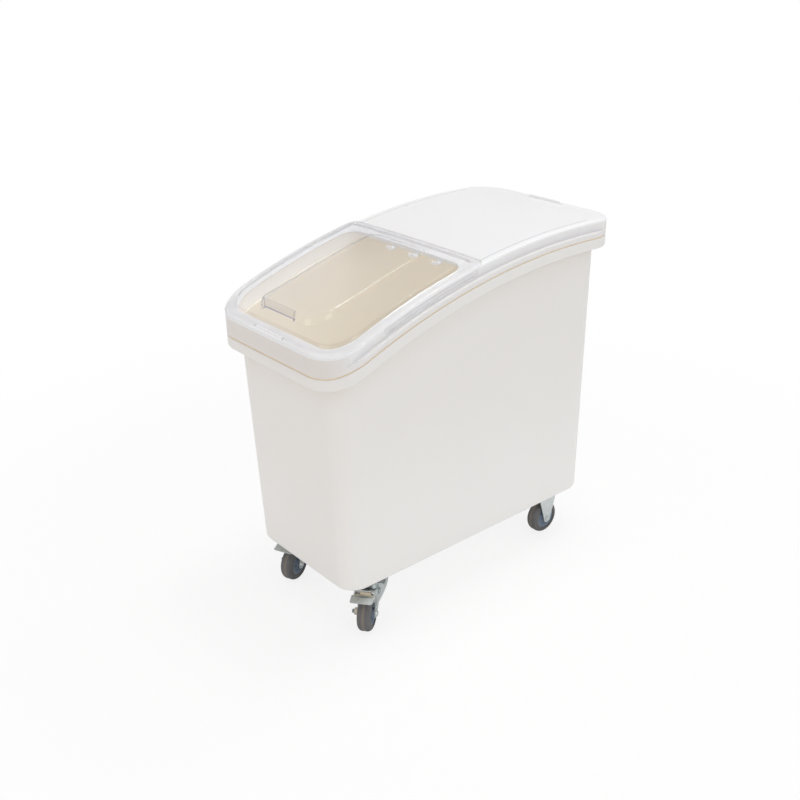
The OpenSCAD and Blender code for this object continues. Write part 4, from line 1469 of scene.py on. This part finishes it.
    def dome_rings(self) -> list[list[Solid]]:
        """Loops of the dome, from its foot on the panel to the edge of its top.

        Returns:
            The points of each loop.
        """
        path = self.dome_path()
        made = []
        for out, rise in self.dome_fillet:
            row = []
            for (x, y), (nx, ny), _ in path:
                px, py = x + nx * out, y + ny * out
                row.append((px, py, self.panel_z(px, py) + rise))
            made.append(row)
        for a in sweep(QUARTER, self.edge_steps):
            row = []
            for (x, y), (nx, ny), edge in path:
                inset = edge * (1 - math.cos(a))
                px, py = x - nx * inset, y - ny * inset
                base, top = self.panel_z(px, py), self.dome_z(px, py)
                round_h = min(edge, (top - base) * self.edge_share)
                row.append((px, py, top - round_h + round_h * math.sin(a)))
            made.append(row)
        return made

    def mark_faces(self, draft: Draft) -> None:
        """Gives the notch's cut edge its painted highlight, and the finger pocket its painted shade and
        refraction colour.

        Args:
            draft: The lid's mesh.
        """
        cut_from, cut_to = self.outline.front + self.cut_from, self.outline.front + self.cut_to
        pocket_from = self.dome_front - self.pocket_ahead
        pocket_to = self.dome_front + self.pocket_d + self.pocket_margin
        for face in draft.bm.faces:
            spot = face.calc_center_median()
            if abs(spot.x) < self.notch_half and cut_from < spot.y < cut_to:
                face.material_index = LidFace.CUT
            across = abs(spot.x - self.pocket_mid) < self.pocket_half + self.pocket_margin
            rise = spot.z - self.panel_z(spot.x, spot.y)
            if across and pocket_from < spot.y < pocket_to and rise > self.least_rise:
                face.material_index = LidFace.EDGE if rise < self.pocket_line else LidFace.POCKET

    def build_sheet(self) -> None:
        """Builds the lid's sheet and gives it its thickness."""
        draft = Draft()
        border = draft.loft(self.border_rings(), LidFace.BORDER)
        dome = draft.loft(self.dome_rings(), LidFace.PANEL)
        draft.skin(border[-1], [dome[0]], self.panel_z, self.skin_pitch)
        draft.skin(dome[-1], [], self.dome_z, self.skin_pitch)
        self.mark_faces(draft)
        bmesh.ops.recalc_face_normals(draft.bm, faces=draft.bm.faces)
        if sum(f.normal.z * f.calc_area() for f in draft.bm.faces) < 0:
            bmesh.ops.reverse_faces(draft.bm, faces=draft.bm.faces)
        # The border, pocket walls, pocket foot and notch cut take painted shade, painted refraction colour
        # and a painted highlight.
        finishes = [LID_FINISH, LID_EDGE_REFRACTION_FINISH, LID_POCKET_SHADE_FINISH, LID_BORDER_SHADE_FINISH, LID_CUT_HIGHLIGHT_FINISH]
        made = draft.piece("lid_sheet", finishes, "lid_body", ["clear_lid"], outward=False)
        solid = made.modifiers.new("thickness", "SOLIDIFY")
        solid.thickness = self.thick * MM
        solid.offset = -1.0
        solid.use_quality_normals = True

    def build_guides(self) -> None:
        """Builds the inturned feet of the guide lips."""
        for side in Side:
            draft = Draft()
            x0, x1 = side.sign * self.guide_in, side.sign * self.guide_out
            rows = []
            for k in range(self.guide_steps + 1):
                y = mix(self.lip_y0 + self.guide_end, self.lip_y1 - self.guide_end, k / self.guide_steps)
                rows.append([(mix(x0, x1, a), y, TOP.z(y, mix(self.lip_h, self.lip_h + self.guide_h, b)))
                             for a, b in self.guide_section])
            draft.closed_loft(rows)
            draft.piece(f"lid_guide_{side.value}", [LID_FINISH], "lid_body")

    def build(self) -> None:
        """Builds every piece of the lid."""
        self.build_sheet()
        self.build_guides()


# Casters


@dataclass
class Wheel:
    """A caster wheel: tyre with a seam line, and a core with rings round its hub."""

    radius: float = 37.5
    width: float = 28.0
    shoulder: float = 9.0
    shoulder_steps: int = 8
    side_groove: tuple[Flat, ...] = ((0.0, 0.0), (2.2, 0.0), (2.6, 0.5), (3.4, 0.5), (3.8, 0.0))
    seam_half: float = 3.2
    seam_edge: float = 0.15
    seam_d: float = 0.25
    core_r: float = 25.0
    core_play: float = 0.05
    rim_in: float = 1.8
    web: float = 6.0
    hub_r: float = 11.0
    hub_w: float = 30.5
    bore_r: float = 6.06
    tyre_crease: float = 50.0
    core_crease: float = 30.0

    def tyre_profile(self) -> tuple[list[Flat], list[int]]:
        """Draws the tyre's closed section.

        Returns:
            Its points, and the material index of each of its stretches.
        """
        r, half, s = self.radius, self.width / 2, self.shoulder
        outer = [(self.core_r + a, -half + b) for a, b in self.side_groove]
        for a in sweep(QUARTER, self.shoulder_steps):
            outer.append((r - s + s * math.sin(a), -(half - s) - s * math.cos(a)))
        outer += [(r, -self.seam_half - self.seam_edge), (r - self.seam_d, -self.seam_half)]
        seam = len(outer) - 1
        profile = outer + [(a, -b) for a, b in reversed(outer)]
        return profile, [TyreFace.SEAM if i == seam else TyreFace.TREAD for i in range(len(profile))]

    def core_profile(self) -> list[Flat]:
        """Draws the core's closed section.

        Returns:
            Its points, as radius and place along the axle.
        """
        half, rim, web = self.hub_w / 2, self.width / 2 - self.rim_in, self.web
        bore, hub = self.bore_r, self.hub_r
        side = [(bore, half - 0.4), (bore + 0.4, half), (hub - 0.6, half), (hub, half - 0.6), (hub, web + 4),
                (hub + 1.2, web + 2.6), (14.0, web + 2.0), (14.4, web), (17.6, web), (18.0, web + 2.0),
                (20.0, web + 3.0), (20.5, rim - 0.8), (21.1, rim), (24.3, rim),
                (self.core_r - self.core_play, rim - 0.7)]
        return [(a, -b) for a, b in side] + [(a, b) for a, b in reversed(side)]

    def build(self, tyre_node: str, core_node: str, body: str, place: Matrix) -> None:
        """Builds the tyre and the core of one wheel.

        Args:
            tyre_node: Node that the tyre stands for.
            core_node: Node that the core stands for.
            body: The wheel's body.
            place: Frame of the axle.
        """
        draft = Draft()
        profile, materials = self.tyre_profile()
        draft.lathe(profile, place, materials=materials)
        draft.piece(f"{tyre_node}_skin", [TYRE_FINISH, SEAM_FINISH], body, [tyre_node],
                    crease=self.tyre_crease)
        draft = Draft()
        draft.lathe(self.core_profile(), place)
        draft.piece(f"{core_node}_skin", [CORE_FINISH], body, [core_node], crease=self.core_crease)


@dataclass
class ForkShoulders:
    """The flared shoulders between the legs and the crown of a front fork.

    Places are along the heading from the swivel's axis, across and up, in millimetres.
    """

    inner: float = 17.0
    foot: float = 50.0
    top: float = 92.2
    flare: tuple[Flat, ...] = ((19.8, 54.0), (22.0, 59.0), (25.0, 64.0), (27.8, 69.0), (29.8, 75.0),
                               (30.6, 81.0), (30.6, 87.0), (29.8, 90.8))
    flare_foot: float = 19.2
    flare_top: float = 27.4
    rear_sum: float = 64.0
    rear_least: float = -25.0
    front_low: float = 33.0
    front_high: float = 9.0
    front_turn: float = 58.0
    front_turn_run: float = 16.0

    def reach(self, z: float) -> Flat:
        """Places of the rear and the front edge at a height."""
        front = mix(self.front_low, self.front_high, smooth((z - self.front_turn) / self.front_turn_run))
        return max(self.rear_sum - z, self.rear_least), front

    def build(self, side: Side, place: Matrix) -> None:
        """Builds the two shoulders of one fork.

        Args:
            side: The caster's side.
            place: Frame of the swivel.
        """
        section = [(self.flare_foot, self.foot), *self.flare, (self.flare_top, self.top),
                   (self.inner, self.top), (self.inner, self.foot)]
        draft = Draft()
        for hand in (-1, 1):
            draft.closed_loft([[place @ Vector((mix(*self.reach(z), share), hand * v, z)) for v, z in section]
                               for share in (0.0, 1.0)])
        draft.piece(f"fork_shoulder_{side.value}", [ZINC_FINISH], f"swivel_{side.value}")


@dataclass
class Pedal:
    """A front caster's brake pedal: two cheeks and a tread, with a block on a rod between them.

    Places are along the heading from the swivel's axis, across and up, in millimetres.
    """

    thick: float = 2.2
    cheek_in: float = 19.4
    cheek: tuple[Flat, ...] = ((14.5, 78.5), (13.5, 82.0), (14.5, 86.0), (18.0, 88.6), (30.0, 93.0),
                               (38.0, 97.2), (46.0, 97.2), (50.0, 92.0), (61.0, 88.2), (57.5, 78.0),
                               (50.0, 84.5), (36.0, 79.0), (20.0, 75.5))
    tread: tuple[Flat, ...] = ((55.0, 89.2), (59.0, 88.6), (60.5, 88.0), (64.0, 86.6), (67.0, 85.5),
                               (69.0, 84.8), (70.5, 84.2), (71.6, 83.8), (72.2, 83.6))
    tread_edges: tuple[Flat, Flat] = ((-25.2, 2.0), (20.6, 6.0))
    roof: tuple[Flat, ...] = ((36.0, 97.8), (45.0, 97.8), (46.8, 97.0), (47.4, 95.4))
    roof_over: float = 0.5
    block: tuple[Flat, ...] = ((39.0, 86.0), (46.0, 86.0), (46.6, 86.6), (46.6, 95.0), (46.0, 95.6),
                               (39.0, 95.6))
    block_from: float = -10.0
    block_to: float = 12.0
    rod_at: Solid = (41.5, 0.0, 92.0)
    rod_r: float = 2.6
    rod_bore_r: float = 0.5
    rod_turns: int = 24

    def bend(self, draft: Draft, place: Matrix, line: Sequence[Flat], edges: Sequence[Flat]) -> None:
        """Bends a strip of sheet along a line, with round corners at its end.

        Args:
            draft: The mesh to add to.
            place: Frame of the swivel.
            line: Points of the sheet's upper side, along the heading and up.
            edges: Place across and corner radius of the strip's two long edges.
        """
        rows = []
        end = Vector(line[-1])
        for i, spot in enumerate(line):
            before, after = Vector(line[max(i - 1, 0)]), Vector(line[min(i + 1, len(line) - 1)])
            along = (after - before).normalized()
            low = Vector(spot) + Vector((along.y, -along.x)) * self.thick
            ends = []
            for v, corner in edges:
                left = corner - min((end - Vector(spot)).length, corner)
                ends.append(v - math.copysign(corner - math.sqrt(corner * corner - left * left), v))
            a, b = ends
            rows.append([place @ Vector(p) for p in ((spot[0], a, spot[1]), (spot[0], b, spot[1]),
                                                     (low.x, b, low.y), (low.x, a, low.y))])
        draft.closed_loft(rows)

    def build(self, side: Side, place: Matrix) -> None:
        """Builds one pedal and its block.

        Args:
            side: The caster's side.
            place: Frame of the swivel.
        """
        draft = Draft()
        for hand in (-1, 1):
            draft.closed_loft([[place @ Vector((u, hand * v, z)) for u, z in self.cheek]
                               for v in (self.cheek_in, self.cheek_in + self.thick)])
        self.bend(draft, place, self.tread, self.tread_edges)
        self.bend(draft, place, self.roof, ((self.block_from - self.roof_over, 0.0),
                                            (self.block_to + self.roof_over, 0.0)))
        reach = self.cheek_in + self.thick / 2
        profile = [(self.rod_bore_r, -reach), (self.rod_r, -reach), (self.rod_r, reach),
                   (self.rod_bore_r, reach)]
        draft.lathe(profile, place @ Matrix.Translation(self.rod_at) @ LAID_DOWN, self.rod_turns)
        draft.piece(f"brake_pedal_{side.value}_skin", [ZINC_FINISH], f"pedal_{side.value}",
                    [f"brake_pedal_{side.value}"])
        draft = Draft()
        draft.closed_loft([[place @ Vector((u, v, z)) for u, z in self.block]
                           for v in (self.block_from, self.block_to)])
        draft.piece(f"brake_block_{side.value}", [YELLOW_ZINC_FINISH], f"pedal_{side.value}")


@dataclass
class Casters:
    """The four casters: wheels, shoulders and pedals built anew, and the other metal dressed in zinc."""

    axle_z: float = 37.5
    trail: float = 36.0
    swivel_x: float = 121.0
    swivel_y: float = -249.0
    rear_x: float = 115.0
    rear_y: float = 260.0
    heading_left: float = -67.4
    heading_right: float = -52.8
    heading_rear: float = -90.0
    stud: tuple[Flat, ...] = ((0.6, -25.8), (4.1, -25.8), (4.1, -29.8), (3.5, -30.6), (0.6, -30.6))
    warm_nodes: tuple[str, ...] = ("nut", "bar", "bush")
    edge: float = 0.35
    edge_steps: int = 2
    edge_angle: float = 35.0

    def heading(self, side: Side) -> float:
        """Heading of a front wheel in degrees."""
        return self.heading_left if side is Side.LEFT else self.heading_right

    def swivel_frame(self, side: Side) -> Matrix:
        """Frame of a front swivel, with X along the heading of its wheel."""
        turn = Matrix.Rotation(math.radians(self.heading(side)), 4, "Z")
        return Matrix.Translation((side.sign * self.swivel_x, self.swivel_y, 0.0)) @ turn

    def axle_frame(self, x: float, y: float, heading: float) -> Matrix:
        """Frame of an axle whose wheel rolls along a heading in degrees."""
        turn = Matrix.Rotation(math.radians(heading), 4, "Z") @ LAID_DOWN
        return Matrix.Translation((x, y, self.axle_z)) @ turn

    def front_axle(self, side: Side) -> Matrix:
        """Frame of a front axle.

        Args:
            side: The caster's side.

        Returns:
            The frame, with Z along the axle.
        """
        a = math.radians(self.heading(side))
        x = side.sign * self.swivel_x + self.trail * math.cos(a)
        y = self.swivel_y + self.trail * math.sin(a)
        return self.axle_frame(x, y, self.heading(side))

    def build_wheels(self) -> None:
        """Builds the four wheels."""
        wheel = Wheel()
        for side in Side:
            wheel.build(f"tyre_{side.value}", f"wheel_core_{side.value}", f"wheel_{side.value}",
                        self.front_axle(side))
            wheel.build(f"rear_tyre_{side.value}", f"rear_core_{side.value}", f"rear_wheel_{side.value}",
                        self.axle_frame(side.sign * self.rear_x, self.rear_y, self.heading_rear))

    def build_stud(self, side: Side) -> None:
        """Builds the end of a front axle beyond its nut.

        Args:
            side: The caster's side.
        """
        draft = Draft()
        draft.lathe(self.stud, self.front_axle(side))
        draft.piece(f"axle_end_{side.value}", [STUD_FINISH], f"swivel_{side.value}")

    def dress_metal(self) -> None:
        """Gives every metal node its finish and a broken edge."""
        for name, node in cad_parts.items():
            if node.hide_render:
                continue
            finish = YELLOW_ZINC_FINISH if any(word in name for word in self.warm_nodes) else ZINC_FINISH
            node.data.materials.clear()
            node.data.materials.append(finish.material())
            edge = node.modifiers.new("broken_edge", "BEVEL")
            edge.width = self.edge * MM
            edge.segments = self.edge_steps
            edge.limit_method = "ANGLE"
            edge.angle_limit = math.radians(self.edge_angle)

    def build(self) -> None:
        """Builds the wheels, shoulders, pedals and studs, and dresses the metal."""
        self.build_wheels()
        for part in (ForkShoulders(), Pedal()):
            for side in Side:
                part.build(side, self.swivel_frame(side))
        for side in Side:
            self.build_stud(side)
        self.dress_metal()


# Studio


def seen_rays(bench: Bench) -> bpy.types.NodeSocket:
    """An output that is 1 for camera and transmission rays, and 0 for all other light."""
    path = bench.add("ShaderNodeLightPath").outputs
    return bench.maths("MAXIMUM", path["Is Camera Ray"], path["Is Transmission Ray"])


@dataclass(frozen=True)
class Lamp:
    """A square soft box: where it hangs, the length of its side in metres, and its power in watts."""

    name: str
    place: Solid
    size: float
    power: float
    colour: Colour = (1.0, 1.0, 1.0)

    def hang(self, aim: Solid) -> None:
        """Hangs the lamp.

        Args:
            aim: What it points at.
        """
        lamp = bpy.data.lights.new(self.name, "AREA")
        lamp.shape = "SQUARE"
        lamp.size = self.size
        lamp.energy = self.power
        lamp.color = self.colour
        box = placed(self.name, lamp)
        box.location = self.place
        box.rotation_mode = "QUATERNION"
        box.rotation_quaternion = (Vector(aim) - Vector(self.place)).to_track_quat("-Z", "Y")


@dataclass
class Studio:
    """Pale floor, soft light and the camera of the photograph's view."""

    floor_half: float = 12.0
    floor_parts: int = 4
    floor_colour: Colour = (0.95, 0.95, 0.95)
    floor_roughness: float = 0.9
    floor_specular: float = 0.1
    world_light: float = 0.62
    glow_near: float = 0.82
    glow_from: float = 0.6
    glow_to: float = 1.7
    azimuth: float = 48.043
    elevation: float = 24.659
    focal_px: float = 1054.577
    centre_px: Flat = (445.58, 401.105)
    image_px: float = 800.0
    sensor: float = 36.0
    eye: Solid = (1.550044, -1.330927, 1.308594)
    middle: Solid = (0.0, 0.0, 0.4)
    lamps: tuple[Lamp, ...] = (
        Lamp("key", (0.2, 0.5, 3.4), 0.9, 27.0),
        Lamp("rear_strip", (0.1, 1.9, 3.2), 0.6, 8.0),
        Lamp("side_fill", (3.0, -0.4, 1.8), 1.6, 13.0),
        Lamp("front_fill", (-0.6, -3.0, 1.0), 1.8, 9.0, (1.0, 0.97, 0.93)),
    )

    def build_camera(self) -> None:
        """Places the camera."""
        lens = bpy.data.cameras.new("view")
        lens.sensor_width = self.sensor
        lens.lens = self.focal_px * lens.sensor_width / self.image_px
        lens.shift_x = (self.image_px / 2 - self.centre_px[0]) / self.image_px
        lens.shift_y = (self.centre_px[1] - self.image_px / 2) / self.image_px
        camera = placed("view", lens)
        a, e = math.radians(self.azimuth), math.radians(self.elevation)
        back = Vector((math.sin(a) * math.cos(e), -math.cos(a) * math.cos(e), math.sin(e)))
        camera.location = self.eye
        camera.rotation_mode = "QUATERNION"
        camera.rotation_quaternion = (-back).to_track_quat("-Z", "Y")
        bpy.context.scene.camera = camera

    def floor_paint(self) -> bpy.types.Material:
        """Mixes the floor's paint, which turns to plain white away from the bin.

        Returns:
            The material.
        """
        paint = bpy.data.materials.new("floor_white")
        paint.use_nodes = True
        nodes = paint.node_tree.nodes
        bench = Bench(paint.node_tree)
        shader = nodes["Principled BSDF"]
        bench.feed(shader, {"Base Color": rgba(self.floor_colour), "Roughness": self.floor_roughness,
                            "Specular IOR Level": self.floor_specular})
        glow = bench.add("ShaderNodeEmission", {"Color": WHITE})
        away = bench.add("ShaderNodeVectorMath", {0: bench.add("ShaderNodeTexCoord").outputs["Object"]},
                         operation="LENGTH")
        fade = bench.spread(away.outputs["Value"], (self.glow_from, self.glow_to), (self.glow_near, 1.0),
                            "SMOOTHSTEP")
        blend = bench.add("ShaderNodeMixShader", {
            "Fac": bench.maths("MULTIPLY", fade, seen_rays(bench)), 1: shader.outputs["BSDF"],
            2: glow.outputs["Emission"]})
        bench.feed(nodes["Material Output"], {"Surface": blend.outputs["Shader"]})
        return paint

    def build_floor(self) -> None:
        """Lays the pale floor."""
        draft = bmesh.new()
        bmesh.ops.create_grid(draft, x_segments=self.floor_parts, y_segments=self.floor_parts,
                              size=self.floor_half)
        mesh = bpy.data.meshes.new("floor")
        draft.to_mesh(mesh)
        draft.free()
        floor = placed("floor", mesh)
        mesh.materials.append(self.floor_paint())

    def build_world(self) -> None:
        """Sets the even light all round, white to the camera."""
        world = bpy.data.worlds.new("studio")
        bpy.context.scene.world = world
        world.use_nodes = True
        bench = Bench(world.node_tree)
        level = bench.spread(seen_rays(bench), target=(self.world_light, 1.0))
        bench.feed(world.node_tree.nodes["Background"], {"Color": WHITE, "Strength": level})

    def build(self) -> None:
        """Builds the whole studio."""
        self.build_camera()
        self.build_floor()
        self.build_world()
        for lamp in self.lamps:
            lamp.hang(self.middle)
        bpy.context.scene.view_settings.view_transform = "Standard"


def main() -> None:
    """Builds the bin's pieces in order."""
    logging.basicConfig(level=logging.INFO, format="%(name)s: %(message)s")
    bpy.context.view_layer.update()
    Tub().build()
    COVER.build()
    ClearLid().build()
    Casters().build()
    Studio().build()


if __name__ == "__main__":
    main()
